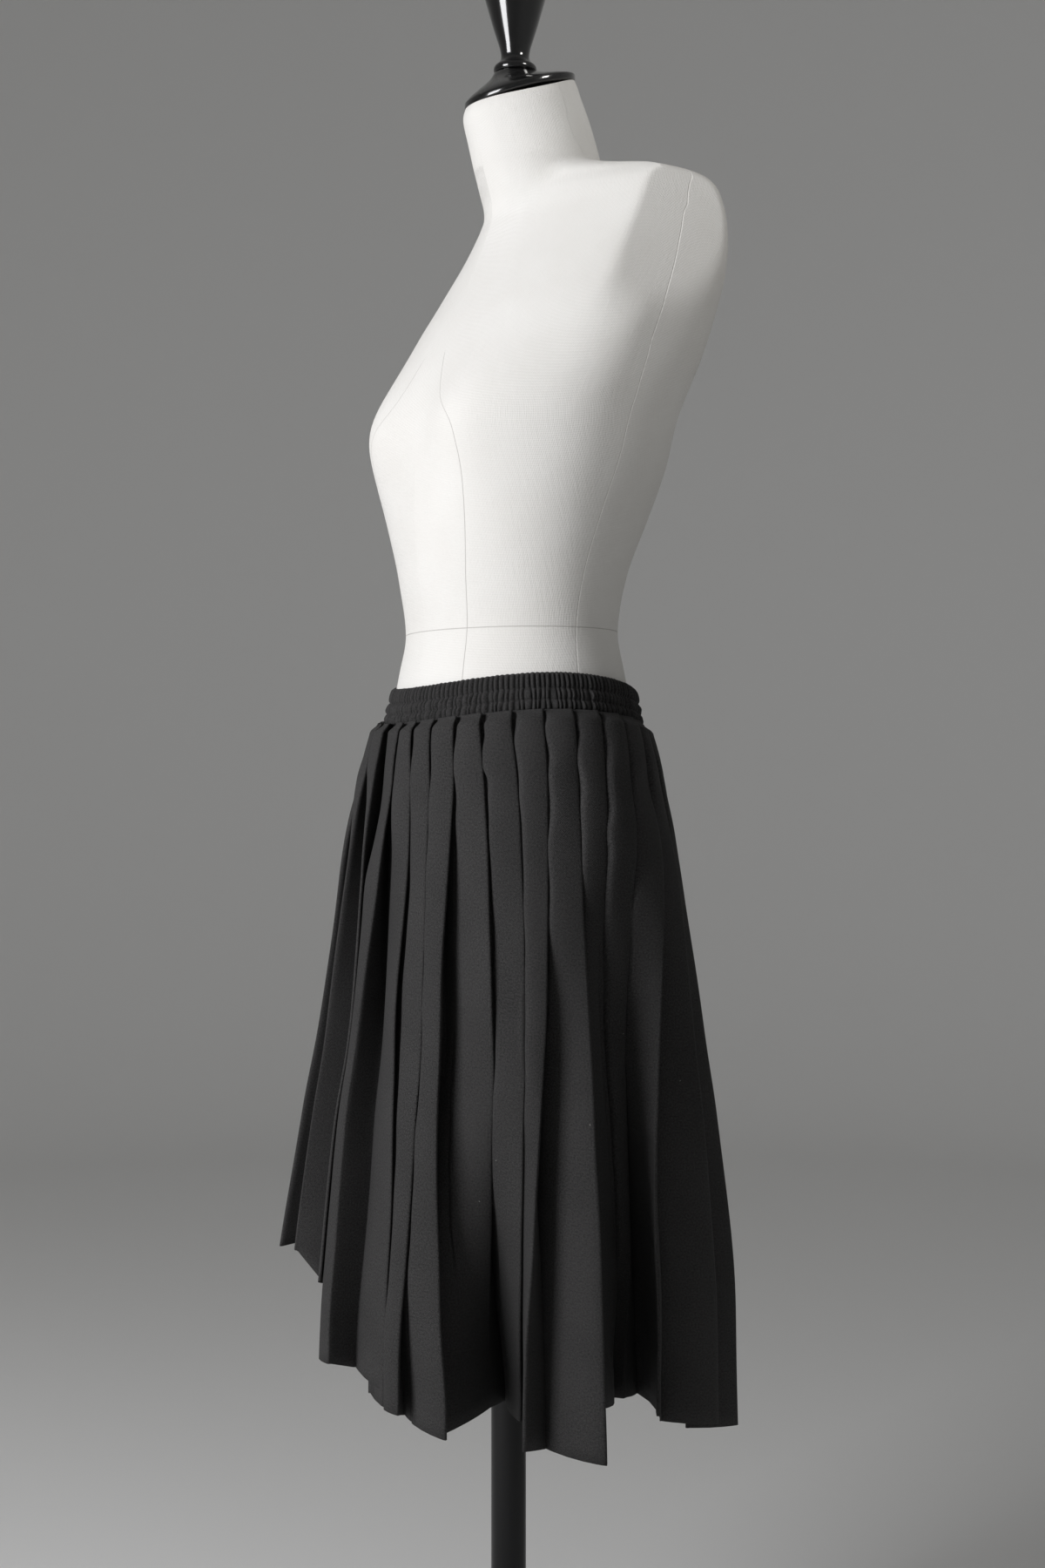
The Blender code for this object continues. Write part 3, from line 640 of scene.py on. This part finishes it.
def backRun(before, after):
    # the return from an outer fold to its inner fold: both runs keep their widths, and where the
    # folds are close the cloth lies flat with each layer clear of the last
    values = skirtValues
    face, back = values["face"], values["back"]
    apart = max(np.linalg.norm(after), 1.0)
    toBack = min(max((back**2 - face**2 + apart**2) / (2 * apart), -back), back)
    opening = (heading(after) - math.acos(toBack / back) - heading(before)) % math.tau
    least = math.radians(values["leastOuter"])
    if opening < least or opening > math.radians(values["mostOuter"]):
        opening = least
    for _ in range(values["openSteps"]):
        direction = heading(before) + opening
        run = back * np.array((math.cos(direction), math.sin(direction)))
        wedge = (heading(-run) - heading(after - run) + math.pi / 2) % math.tau - math.pi / 2
        if wedge >= math.radians(values["leastInner"]):
            break
        opening += math.radians(values["openStep"])
    return run


def foldTip(along, beside, across):
    # across a flat fold, along the run of an open one
    openness = min(max(1 - 2 * float(np.dot(along, beside)), 0.0), 1.0)
    return unit(across * (1 - openness) + along * openness) * skirtValues["foldGap"]


def solveFolds(height):
    # azimuth and depth of the outer folds, inner folds and both ends of the returns at a height
    values, pleats = skirtValues, skirtValues["pleats"]
    halfWidth, halfDepth = (float(value) for value in outlineAt(height))
    degrees = np.arange(0, 361, 2)
    angles = np.radians(degrees)
    rate = np.hypot(halfWidth * np.cos(angles), halfDepth * np.sin(angles))
    lengths = np.concatenate(([0.0], np.cumsum((rate[1:] + rate[:-1]) / 2 * np.diff(angles))))
    count = range(-values["warmUp"], pleats + 2)
    outer, scale = {}, {}
    for k in count:
        turns, index = divmod(k, pleats)
        row = values["pleatRows"][index]
        azimuth = 360 * turns + float(smoothCurve(values["azimuthHeights"], row[:5], height))
        sink = float(smoothCurve(values["azimuthHeights"], (0, 0, *row[5:8]), height))
        whole, rest = divmod(azimuth, 360)
        outer[k] = np.array((whole * lengths[-1] + np.interp(rest, degrees, lengths), -sink))
        radius = bendRadius(azimuth, halfWidth, halfDepth)
        scale[k] = np.array((1 - (values["meanDepth"] + sink) / radius, 1.0))
    inner = {count[0] - 1: outer[count[0]] - (values["face"], values["meanDepth"])}
    backStart, backEnd = {}, {}
    for k in count[:-1]:
        before = (inner[k - 1] - outer[k]) * scale[k]
        after = (outer[k + 1] - outer[k]) * scale[k]
        run = backRun(before, after)
        inner[k] = outer[k] + run / scale[k]
        backStart[k] = outer[k] + foldTip(unit(run), unit(before), innerSide(unit(-before))) / scale[k]
        face = unit((outer[k + 1] - inner[k]) * scale[k + 1])
        backEnd[k] = inner[k] + foldTip(unit(-run), face, -innerSide(face)) / scale[k + 1]
    solved = np.zeros((4, pleats, 2))
    for kind, places in enumerate((outer, inner, backStart, backEnd)):
        for k in range(pleats):
            turns, rest = divmod(places[k][0], lengths[-1])
            solved[kind, k] = 360 * turns + np.interp(rest, lengths, degrees), -places[k][1]
    return solved


foldTable = np.array([solveFolds(float(height)) for height in levels])
# the folds settle over a few centimetres of height, so the table is eased along it
reach = skirtValues["easeReach"]
easing = np.exp(-0.5 * (np.arange(-reach, reach + 1) / skirtValues["easeWidth"]) ** 2)
padded = np.concatenate([foldTable[:1]] * reach + [foldTable] + [foldTable[-1:]] * reach)
foldTable = sum(share * padded[k:k + len(levels)] for k, share in enumerate(easing / easing.sum()))
print("folds solved at", len(levels), "heights")


def foldLine(kind, pleat, heights):
    turns, index = divmod(pleat, skirtValues["pleats"])
    azimuth = np.interp(heights, levels, foldTable[:, kind, index, 0]) + 360 * turns
    depth = np.interp(heights, levels, foldTable[:, kind, index, 1])
    for moved, degrees, height, spread in skirtValues["innerMoves"]:
        if kind in (1, 3) and index == moved:
            azimuth = azimuth + degrees * np.exp(-(((heights - height) / spread) ** 2))
    return azimuth, depth


def hemOf(pleat, inside=False):
    index = pleat % skirtValues["pleats"]
    moves = skirtValues["hemMoves"]
    own = skirtValues["pleatRows"][index][8] + moves.get(index, (0, 0))[0]
    if not inside:
        return own
    following = (index + 1) % skirtValues["pleats"]
    after = skirtValues["pleatRows"][following][8] + moves.get(following, (0, 0))[0]
    return (own + after) / 2 + moves.get(index, (0, 0))[1]


# what the hand finds on the cloth: puffs under the seam, a trough beside each neighbour's fold, soft hollows
creaseValues = {
    # depths between which painted shade darkens the cloth, and how much
    "shadeDepths": (16, 75), "deepShade": 0.55,
    # the top edge is tucked in and the rest of the fold stands out over the first few millimetres
    "seamTuck": 2.4, "seamReach": 9, "topLift": 2.4, "topLiftDrops": (14, 60),
    # how far a ridge lies back below that, and the pleats where it lies back more
    "ridgeSink": 3.0, "sinkShares": (0.8, 1.35), "sunkPleats": (7, 12), "ridgeWander": 0.35,
    # depths between which a pleat counts as open, and how far its face then bulges
    "openDepths": (10, 24), "openBulge": 2.6, "sway": 0.9, "swayDrops": (20, 160),
    # the gap where the neighbour's fold lies over a face, rounder at the top corner
    "gap": 1.6, "gapWander": 0.9, "gapLeast": 0.4, "gapMostShare": 0.32, "coveredShares": (0.03, 0.82),
    "cornerRound": 5.5, "cornerDrop": 4, "cornerTall": 5,
    # trough and puff, and the widths covered and the steepness between which they come in and go
    "trough": 2.6, "puff": 5.2, "puffLow": 2.4, "puffDrop": 110, "comesIn": (3, 12), "goesOut": (16, 30),
    # columns under the neighbour's fold as shares, then columns across the part of a face that shows: share
    # of the gap, millimetres past it, share of what is left, share of the trough's depth, share of the puff
    "hiddenColumns": (0, 0.45, 0.88), "narrowFace": 26,
    "faceColumns": [(0.1, 0, 0, 0.35, 0.0), (0.5, 0, 0, 1.0, 0.0), (0.9, 0, 0, 0.45, 0.15),
                    (1, 0.9, 0, 0, 0.6), (1, 2.6, 0, 0, 0.95), (1, 5.5, 0, 0, 1.0), (1, 5.5, 0.3, 0, 0.9),
                    (1, 5.5, 0.6, 0, 0.62), (1, 5.5, 0.85, 0, 0.26), (1, 5.5, 0.96, 0, 0.07)],
    "seamClose": 0.88,
    # pleat, height, how much wider the gap beside it is there, half height of that stretch
    "gapWaves": [
        (2, 930, 1.5, 18), (3, 955, 1.5, 10), (3, 925, 2.0, 16), (4, 950, 2.0, 12), (4, 918, -1.0, 14),
        (5, 955, -1.0, 12), (5, 925, 1.8, 18), (6, 960, 1.6, 10), (6, 930, -1.0, 14), (6, 900, 1.8, 16),
        (7, 958, 2.4, 9), (7, 934, -1.4, 9), (7, 916, 3.0, 9), (7, 884, 1.0, 20), (8, 966, 2.5, 8),
        (8, 950, -1.2, 9), (8, 920, 2.6, 14), (8, 872, 1.2, 24), (9, 970, 2.2, 6), (9, 960, -1.2, 6),
        (9, 938, 2.0, 11), (9, 896, 2.6, 18), (9, 862, -0.8, 14), (10, 955, 2.6, 9), (10, 931, -1.3, 9),
        (10, 908, 2.2, 14), (11, 942, 3.0, 13), (11, 916, 0.8, 10), (11, 892, 3.0, 13), (11, 868, -1.2, 10),
        (12, 930, 2.0, 14), (12, 900, -1.0, 12),
        (13, 945, 1.8, 12), (13, 905, 1.4, 18), (14, 940, -1.2, 10), (15, 915, 2.2, 18), (16, 950, 2.0, 9),
        (17, 944, -1.2, 10), (17, 915, 2.4, 14), (18, 925, 2.0, 16), (19, 952, 2.2, 10), (20, 930, 2.4, 16),
        (21, 945, -1.2, 9), (21, 915, 2.2, 14), (22, 948, 2.2, 11), (23, 918, 2.0, 18), (24, 940, -1.0, 12),
        (25, 925, 2.4, 14), (26, 945, 2.0, 11), (27, 915, 1.8, 18), (28, 936, 2.2, 12), (29, 950, -1.1, 10),
        (30, 930, 2.2, 16), (0, 940, 2.0, 12), (1, 925, 1.8, 16),
    ],
    # pleat, share across its face, height, half width across, half height, depth of the trough
    "troughs": [
        (5, 0.75, 700, 0.16, 90, 1.6), (6, 0.55, 620, 0.22, 110, 2.2), (7, 0.7, 760, 0.18, 70, 1.4),
        (8, 0.7, 560, 0.14, 90, 1.3), (9, 0.55, 600, 0.2, 130, 2.4), (9, 0.8, 450, 0.16, 70, -1.8),
        (10, 0.6, 640, 0.2, 90, 1.8), (13, 0.5, 560, 0.24, 120, 2.8), (13, 0.78, 430, 0.18, 80, -2.2),
        (14, 0.55, 620, 0.22, 120, 2.4), (16, 0.5, 500, 0.22, 110, 2.6), (18, 0.6, 660, 0.2, 90, 2.0),
        (20, 0.5, 540, 0.24, 120, 2.6), (22, 0.55, 600, 0.2, 100, 2.2), (24, 0.6, 700, 0.2, 80, 1.6),
        (26, 0.5, 640, 0.2, 90, 2.0), (28, 0.55, 700, 0.22, 90, 1.8), (30, 0.6, 620, 0.2, 90, 1.8),
        (3, 0.6, 560, 0.2, 100, 1.6), (1, 0.6, 640, 0.2, 90, 1.4),
    ],
}


def makePanel(name, first, last, node):
    values, crease = skirtValues, creaseValues
    face, back = values["face"], values["back"]
    width = face + back
    step = np.linspace(0, 1, values["rows"])
    drop = values["rowsEven"] * step + (1 - values["rowsEven"]) * step ** values["rowsPower"]
    columns, clothAcross, paintedShades = [], [], []

    def addColumn(azimuth, depth, height, below, across):
        turn = np.radians(azimuth)
        sway = crease["sway"] * wave(turn * 5 + height * 0.017, turn * 9 - height * 0.026 + 1.3)
        sway = sway * smoothStep(*crease["swayDrops"], below)
        tuck = crease["seamTuck"] * (1 - smoothStep(0, crease["seamReach"], below))
        columns.append(toWorld(*clothPlace(azimuth, height, depth + sway + tuck), height))
        clothAcross.append(np.broadcast_to(across, step.shape))
        # painted shade: the deeper the cloth lies inside the outline, the darker its colour, for the shade
        # in deep folds
        paintedShades.append(crease["deepShade"] * smoothStep(*crease["shadeDepths"], depth))

    for pleat in range(first, last):
        index = pleat % values["pleats"]
        ridgeHem = hemOf(pleat)
        beforeHem = ridgeHem if pleat == first else hemOf(pleat - 1, True)
        afterHem = ridgeHem if pleat == last - 1 else hemOf(pleat, True)
        tops = [float(bandBottom(foldLine(kind, k, values["azimuthHeights"][0])[0])) + values["underBand"]
                for kind, k in ((0, pleat), (1, pleat - 1), (1, pleat))]
        ridge, before, after = (t + (h - t) * drop for t, h in zip(tops, (ridgeHem, beforeHem, afterHem)))
        faceStart, faceEnd = foldLine(1, pleat - 1, before), foldLine(0, pleat, ridge)
        backStart, backEnd = foldLine(2, pleat, ridge), foldLine(3, pleat, after)
        nextStart = foldLine(1, pleat, after)
        openness = smoothStep(*crease["openDepths"], backEnd[1] - faceEnd[1])
        below = tops[0] - ridge
        lift = crease["topLift"] * (0.75 + 0.3 * math.sin(index * 2.3))
        lift = lift * smoothStep(0, crease["seamReach"], below)
        deep = crease["sunkPleats"][0] <= index <= crease["sunkPleats"][1]
        sunk = crease["ridgeSink"] * crease["sinkShares"][deep]
        lift = (lift - (lift + sunk) * smoothStep(*crease["topLiftDrops"], below)) * (1 - openness)
        # millimetres of cloth in a degree, and how far the ridge wanders to either side
        rate = np.radians(1) * sum(outlineAt(ridge)) / 2
        shift = crease["ridgeWander"] * wave(ridge * 0.035 + index * 1.7, ridge * 0.061 + index * 4.1)
        shift = shift * smoothStep(4, 40, below)
        # where the neighbour's fold lies over this face, in millimetres of cloth from the inner fold
        covered = (foldLine(0, pleat - 1, ridge)[0] - faceStart[0]) / (faceEnd[0] - faceStart[0])
        covered = np.clip(covered, *crease["coveredShares"]) * face
        seen = face - covered
        steep = smoothStep(*crease["goesOut"], np.abs(faceStart[1] - faceEnd[1]))
        fresh = smoothStep(*crease["comesIn"], covered) * (1 - steep)
        corner = np.exp(-(((below - crease["cornerDrop"]) / crease["cornerTall"]) ** 2))
        corner = corner * (0.6 + 0.4 * math.sin(index * 4.7))
        gap = crease["gap"] + crease["cornerRound"] * corner
        gap = gap + crease["gapWander"] * wave(ridge * 0.06 + index * 2.4, ridge * 0.11 + index * 1.3)
        for k, height, wider, tall in crease["gapWaves"]:
            if k == index:
                gap = gap + wider * np.exp(-(((ridge - height) / tall) ** 2))
        gap = np.clip(gap, crease["gapLeast"], crease["gapMostShare"] * seen)
        fade = np.exp(-((below / crease["puffDrop"]) ** 2))
        puff = (crease["puff"] - crease["puffLow"]) * fade * (0.85 + 0.2 * math.sin(index * 3.1))
        puff = (crease["puffLow"] + puff) * smoothStep(0.5, crease["seamReach"], below) * fresh
        trough = crease["trough"] * (0.6 + 0.4 * fade + 0.9 * corner) * smoothStep(0, 3, below) * fresh

        base = (pleat - first) * width
        scaled = np.minimum(seen / crease["narrowFace"], 1)
        faceColumns = [(covered * share, 0.0, 0.0, 0.0) for share in crease["hiddenColumns"]]
        for gapShare, past, rest, troughShare, puffShare in crease["faceColumns"]:
            at = covered + gap * gapShare + past * scaled
            at = at + (face - at) * rest
            faceColumns.append((at, trough * troughShare, puff * puffShare, 1.0))
        for at, inward, outward, outside in faceColumns:
            share = at / face
            azimuth = faceStart[0] + (faceEnd[0] - faceStart[0]) * share
            depth = faceStart[1] + (faceEnd[1] - faceStart[1]) * share
            height = before + (ridge - before) * share
            depth = depth + inward - outward - lift * smoothStep(0.45, 1.0, share) * outside
            depth = depth - crease["openBulge"] * openness * 4 * share * (1 - share)
            for k, acrossShare, level, halfShare, halfTall, hollow in crease["troughs"]:
                if k == index:
                    depth = depth + hollow * np.exp(-(((share - acrossShare) / halfShare) ** 2)
                                                    - ((height - level) / halfTall) ** 2)
            azimuth = azimuth + shift * smoothStep(0.7, 1.0, share) / rate
            addColumn(azimuth, depth, height, below, base + at)
        # the ridge itself and the tip of its fold
        tipAzimuth = (faceEnd[0] + backStart[0]) / 2 + (shift + 0.7 * (1 - openness)) / rate
        tipDepth = (faceEnd[1] + backStart[1]) / 2 - lift
        addColumn(faceEnd[0] + (shift + 0.2) / rate, faceEnd[1] - lift + 0.25, ridge, below, base + face)
        addColumn(tipAzimuth, tipDepth, ridge, below, base + face + 0.8)
        for share in values["backShares"]:
            near = 1 - float(smoothStep(0.0, 0.7, share))
            azimuth = backStart[0] + (backEnd[0] - backStart[0]) * share + shift * near / rate
            depth = backStart[1] + (backEnd[1] - backStart[1]) * share - lift * near
            height = ridge + (after - ridge) * share
            addColumn(azimuth, depth, height, below, base + face + 1.6 + share * (back - 2.4))
        # the inner fold, or at a panel's end the seam, which ends just short of the next panel
        azimuth = (backEnd[0] + nextStart[0]) / 2 - 0.6 * (1 - openness) / rate
        depth = (backEnd[1] + nextStart[1]) / 2
        if pleat == last - 1:
            close = crease["seamClose"]
            azimuth, depth = (end + (start - end) * close for end, start in zip(backEnd, nextStart))
        addColumn(azimuth, depth, after, below, base + width - 0.4)
    places = np.array(columns).transpose(1, 0, 2)
    stepsDown = np.linalg.norm(np.diff(places, axis=0), axis=-1)
    downs = np.vstack([np.zeros(places.shape[1]), np.cumsum(stepsDown, axis=0)])
    across = np.array(clothAcross).T * mm
    # the hollow attribute carries the painted shade to the crepe's colour
    bm = gridSheet(places, np.stack([across, downs], axis=-1), attributes={"hollow": np.array(paintedShades).T})
    made = addPiece(name, bm, crepe)
    thick = made.modifiers.new("clothThickness", "SOLIDIFY")
    thick.thickness = values["cloth"] * mm
    thick.offset = 0.0
    thick.use_even_offset = False
    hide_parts(node)
    return made, downs[-1].mean(), width * (last - first) * mm


leftPanel, leftDrop, leftWidth = makePanel(
    "skirtLeftPanel", skirtValues["hemStep"], skirtValues["sideSeam"], "skirt_left_panel")
rightPanel, rightDrop, rightWidth = makePanel(
    "skirtRightPanel", skirtValues["sideSeam"], skirtValues["pleats"] + skirtValues["hemStep"],
    "skirt_right_panel")
print("pleats ready:", len(leftPanel.data.polygons) + len(rightPanel.data.polygons), "faces")


# waistband: a casing gathered over elastic, with two rows of stitches through it

bandValues = {
    "columns": 1500, "gathers": 150, "height": 31.5, "raised": 0.3, "clear": 0.6, "wall": 1.9, "swell": 0.45,
    # creaseShade: the gather height below which painted shade darkens the creases between the ribs
    "rib": 2.9, "ribPower": 0.75, "topRipple": 0.034, "creaseShade": 0.7, "cutLength": 1.08,
    # how far the band stands off the back and where, and the shares that point straight out of the torso
    "backEase": 4.0, "backAt": 165, "outward": (100, 135),
    "stitchRows": (0.60, 0.28),
    # share of the height, how far the face swells, how strong the gathers are
    "outer": [(0.0, 0.2, 0.5), (0.05, 0.5, 0.9), (0.11, 0.9, 1.1), (0.17, 0.9, 1.1), (0.23, 0.4, 0.9),
              (0.265, -0.2, 0.55), (0.28, -0.5, 0.45), (0.295, -0.2, 0.55), (0.34, 0.5, 0.9),
              (0.40, 0.95, 1.05), (0.46, 1.0, 1.1), (0.52, 0.7, 0.95), (0.57, 0.1, 0.65),
              (0.585, -0.2, 0.5), (0.60, -0.5, 0.42), (0.615, -0.2, 0.5), (0.65, 0.4, 0.85),
              (0.70, 0.8, 1.0), (0.76, 1.0, 1.05), (0.82, 1.0, 1.05), (0.88, 0.8, 1.0),
              (0.93, 0.4, 0.95), (0.97, -0.1, 0.85), (0.995, -0.8, 0.7)],
    # share of the height, share of the wall
    "top": [(1.012, 0.62), (1.016, 0.4), (1.008, 0.2)],
    "inner": [(0.99, 0.06), (0.9, 0.0), (0.6, 0.0), (0.3, 0.0), (0.02, 0.0)],
    # where the top, the inner side and the closing row lie down the cloth, in heights
    "topCloth": 0.08, "innerCloth": 1.1, "closedCloth": 2.15,
}


def bandPlace(azimuth, level, distance):
    values = bandValues
    height = bandBottom(azimuth) + values["raised"] + level * values["height"]
    ease = values["backEase"] * np.clip(np.cos(np.radians(azimuth - values["backAt"])), 0, 1) ** 2
    angle = np.radians(azimuth)
    side, ahead = values["outward"][0] * np.sin(angle), values["outward"][1] * np.cos(angle)
    length = np.hypot(side, ahead)
    out = values["clear"] + ease + distance
    torsoSide, torsoForward = torsoRing(azimuth, height)
    return toWorld(torsoSide + side / length * out, torsoForward + ahead / length * out, height)


def gatherHeight(azimuth, level):
    # rounded ribs with sharp creases between them, less even below the upper stitches
    turn = np.radians(azimuth)
    loose = 1 - smoothStep(0.5, 0.66, level)
    wander = wave(turn * 37 + 1.0, turn * 61 + level * 3.0, turn * 23 - level * 5.0)
    phase = bandValues["gathers"] * turn / 2 + (0.35 + 0.75 * loose) * wander
    rib = np.abs(np.sin(phase)) ** bandValues["ribPower"]
    uneven = 0.78 + 0.22 * np.sin(turn * 19 + 2.0) * np.sin(turn * 43 + 0.6)
    merged = 0.35 * loose * np.abs(np.sin(phase / 2 + 0.4)) * (0.5 + 0.5 * np.sin(turn * 29 + level * 9.0))
    return (rib + merged) * uneven


def makeBand():
    values = bandValues
    azimuths = np.linspace(0, 360, values["columns"] + 1)
    rows, downs, paintedShades = [], [], []

    def addRow(level, out, down):
        rows.append(bandPlace(azimuths, level, out))
        downs.append(down)

    for level, swell, strength in values["outer"]:
        gathered = gatherHeight(azimuths, level)
        # painted shade: the lower the gather, the darker, for the shade in the creases between the ribs
        paintedShades.append(np.clip(1 - gathered / values["creaseShade"], 0, 1))
        addRow(level, values["wall"] + values["swell"] * swell + values["rib"] * strength * gathered, level)
    ripple = values["topRipple"] * gatherHeight(azimuths, 1.0)
    for level, share in values["top"]:
        addRow(level + ripple, values["wall"] * share, 1.0 + (1 - share) * values["topCloth"])
    for level, share in values["inner"]:
        addRow(level, values["wall"] * share, values["innerCloth"] + (1 - level))
    rows.append(rows[0])
    downs.append(values["closedCloth"])
    places = np.array(rows)
    places[:, -1] = places[:, 0]
    across = np.linspace(0, values["cutLength"], values["columns"] + 1)
    uvs = np.stack(np.meshgrid(across, np.array(downs) * values["height"] * mm), axis=-1)
    # painted shade on the outer rows only, none on the top and inner rows
    hollow = np.zeros(places.shape[:2])
    hollow[:len(paintedShades)] = paintedShades
    bm = gridSheet(places, uvs, closed=True, attributes={"hollow": hollow})
    bmesh.ops.recalc_face_normals(bm, faces=bm.faces)
    made = addPiece("elasticWaistband", bm, crepe)
    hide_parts("waistband")
    return made


band = makeBand()


stitchValues = {
    # in degrees round the band
    "pitch": 1.15, "length": 0.62,
    # in millimetres, apart from the shares
    "radius": 0.22, "endShare": 0.6, "sunk": 0.42, "ribShare": 0.70, "bow": 0.12, "sides": 5,
}


def makeStitches():
    # each stitch is a short thread lying in the groove of its row
    values, sides = stitchValues, stitchValues["sides"]
    bm = bmesh.new()
    for level in bandValues["stitchRows"]:
        for start in np.arange(0, 360, values["pitch"]):
            rings = []
            for k in range(3):
                azimuth = start + values["length"] * k / 2
                gathered = float(gatherHeight(np.array(azimuth), level))
                lifted = bandValues["wall"] - values["sunk"] + values["ribShare"] * gathered
                lifted += values["bow"] * (k == 1)
                centre = Vector(bandPlace(np.array(azimuth), level, lifted))
                angle = math.radians(azimuth)
                outward = Vector((math.sin(angle), -math.cos(angle), 0))
                size = values["radius"] * mm * (1.0 if k == 1 else values["endShare"])
                turns = [math.tau * i / sides for i in range(sides)]
                rings.append([bm.verts.new(centre + outward * math.cos(t) * size
                                           + Vector((0, 0, math.sin(t) * size))) for t in turns])
            for low, high in zip(rings, rings[1:]):
                for i in range(sides):
                    bm.faces.new((low[i], low[(i + 1) % sides], high[(i + 1) % sides], high[i]))
            bm.faces.new(rings[0])
            bm.faces.new(rings[-1])
    bmesh.ops.recalc_face_normals(bm, faces=bm.faces)
    return addPiece("waistStitches", bm, blackThread)


stitches = makeStitches()
print("waistband ready:", len(band.data.polygons), "faces")


lintValues = {
    "width": 0.28, "bend": 0.6, "thick": 0.18, "stands": 0.75, "rayDepths": (-60, 120),
    # azimuth, height, length and lean of each speck, laid on the cloth where a straight look inward meets it
    "specks": [(47, 563, 1.3, 0.5), (78, 630, 1.6, 1.2), (117, 656, 1.2, 2.2), (52, 598, 0.9, 2.6),
               (96, 700, 1.0, 0.2), (190, 610, 1.2, 1.0), (268, 655, 1.1, 2.0)],
}


def makeLint():
    values = lintValues
    bpy.context.view_layer.update()
    bm = bmesh.new()
    for azimuth, height, length, lean in values["specks"]:
        panel = rightPanel if 250 < azimuth < 360 else leftPanel
        start, end = (Vector(toWorld(*clothPlace(azimuth, height, depth), height))
                      for depth in values["rayDepths"])
        hit, place, normal, _ = panel.ray_cast(start, (end - start).normalized())
        if not hit:
            continue
        along = normal.cross(Vector((0, 0, 1))).normalized()
        along = along * math.cos(lean) + Vector((0, 0, 1)) * math.sin(lean)
        across = normal.cross(along).normalized()
        for vert in bmesh.ops.create_icosphere(bm, subdivisions=2, radius=1.0)["verts"]:
            x, y, z = vert.co
            beside = across * ((y + values["bend"] * x * x) * values["width"])
            above = normal * (z * values["thick"] + values["stands"])
            vert.co = place + (along * (x * length / 2) + beside + above) * mm
    addPiece("lintSpecks", bm, lint)


makeLint()


# camera, lights and a plain pale stage

viewValues = {"lens": 50, "sensor": 36, "azimuth": 60, "distance": 2.0, "height": 0.913, "aside": 0.0128}


def makeCamera():
    values = viewValues
    data = bpy.data.cameras.new("view")
    data.lens, data.sensor_width, data.sensor_fit = values["lens"], values["sensor"], "AUTO"
    made = bpy.data.objects.new("view", data)
    scene.collection.objects.link(made)
    angle = math.radians(values["azimuth"])
    toward = Vector((math.sin(angle), -math.cos(angle), 0))
    right = Vector((math.cos(angle), math.sin(angle), 0))
    made.location = toward * values["distance"] + right * values["aside"] + Vector((0, 0, values["height"]))
    made.rotation_euler = (math.pi / 2, 0, angle)
    scene.camera = made
    return toward, right


toward, right = makeCamera()

lightValues = [
    # name, place to the right, toward the camera and up, aim height, size, watts, colour, spread in degrees
    ("keyWindow", -1.58, 1.22, 1.45, 1.0, (0.9, 1.4), 50, "#fbfbfd", 180),
    ("shoulderSoft", 1.2, 0.9, 2.3, 1.64, (0.4, 0.4), 0.6, "#fbf9f6", 40),
]
airValues = {"colour": "#efeeec", "strength": 0.24}


def makeLights():
    for name, aside, ahead, up, aim, size, watts, colour, spread in lightValues:
        data = bpy.data.lights.new(name, "AREA")
        data.shape, data.size, data.size_y = "RECTANGLE", size[0], size[1]
        data.energy, data.color = watts, hexColour(colour)[:3]
        data.spread = math.radians(spread)
        made = bpy.data.objects.new(name, data)
        scene.collection.objects.link(made)
        made.location = right * aside + toward * ahead + Vector((0, 0, up))
        aimed = Vector((0, 0, aim)) - made.location
        made.rotation_euler = aimed.to_track_quat("-Z", "Y").to_euler()
    world = bpy.data.worlds.new("studioAir")
    scene.world = world
    world.use_nodes = True
    sky = world.node_tree.nodes["Background"]
    sky.inputs["Color"].default_value = hexColour(airValues["colour"])
    sky.inputs["Strength"].default_value = airValues["strength"]


sweepValues = {
    "colour": "#e4e4e3", "roughness": 0.9, "fibre": 0.05, "fibreDepth": 0.0005,
    # metres: height and radius of the floor's rings, the bend's radius and the wall's height
    "floor": [(0.0, 0.0), (-0.0006, 1.6), (0.0, 3.4)], "bend": 1.4, "wall": 6.0, "below": 0.0002,
    "bendSteps": 16, "spinSteps": 96,
}


def makeStage():
    # a paper sweep: a wide floor that turns up smoothly into a wall all round
    values = sweepValues
    bend, edge = values["bend"], values["floor"][-1][1]
    profile = values["floor"] + [(bend - bend * math.cos(t), edge + bend * math.sin(t))
                                 for t in np.linspace(0, math.pi / 2, values["bendSteps"])[1:]]
    profile += [(values["wall"], edge + bend)]
    bm = bmesh.new()
    verts = [bm.verts.new((radius, 0, height)) for height, radius in profile]
    edges = [bm.edges.new(pair) for pair in zip(verts, verts[1:])]
    bmesh.ops.spin(bm, geom=verts + edges, cent=(0, 0, 0), axis=(0, 0, 1), angle=math.tau,
                   steps=values["spinSteps"], use_merge=True)
    bmesh.ops.remove_doubles(bm, verts=bm.verts, dist=0.0001)
    bmesh.ops.translate(bm, verts=bm.verts, vec=(0, 0, -values["below"]))
    data = bpy.data.meshes.new("paperSweep")
    bm.to_mesh(data)
    bm.free()
    data.shade_smooth()
    paper, tree, shader = newMaterial("palePaper", {
        "Base Color": hexColour(values["colour"]), "Roughness": values["roughness"],
    })
    place = addNode(tree, "ShaderNodeTexCoord").outputs["Object"]
    fibre = addNode(tree, "ShaderNodeTexNoise", {"Scale": 300.0, "Detail": 3.0}, {"Vector": place})
    bump = addNode(tree, "ShaderNodeBump", {
        "Strength": values["fibre"], "Distance": values["fibreDepth"],
    }, {"Height": fibre.outputs["Fac"]})
    tree.links.new(bump.outputs["Normal"], shader.inputs["Normal"])
    data.materials.append(paper)
    made = bpy.data.objects.new("paperSweep", data)
    scene.collection.objects.link(made)


makeLights()
makeStage()
scene.view_settings.view_transform = "Standard"
print("stage ready")
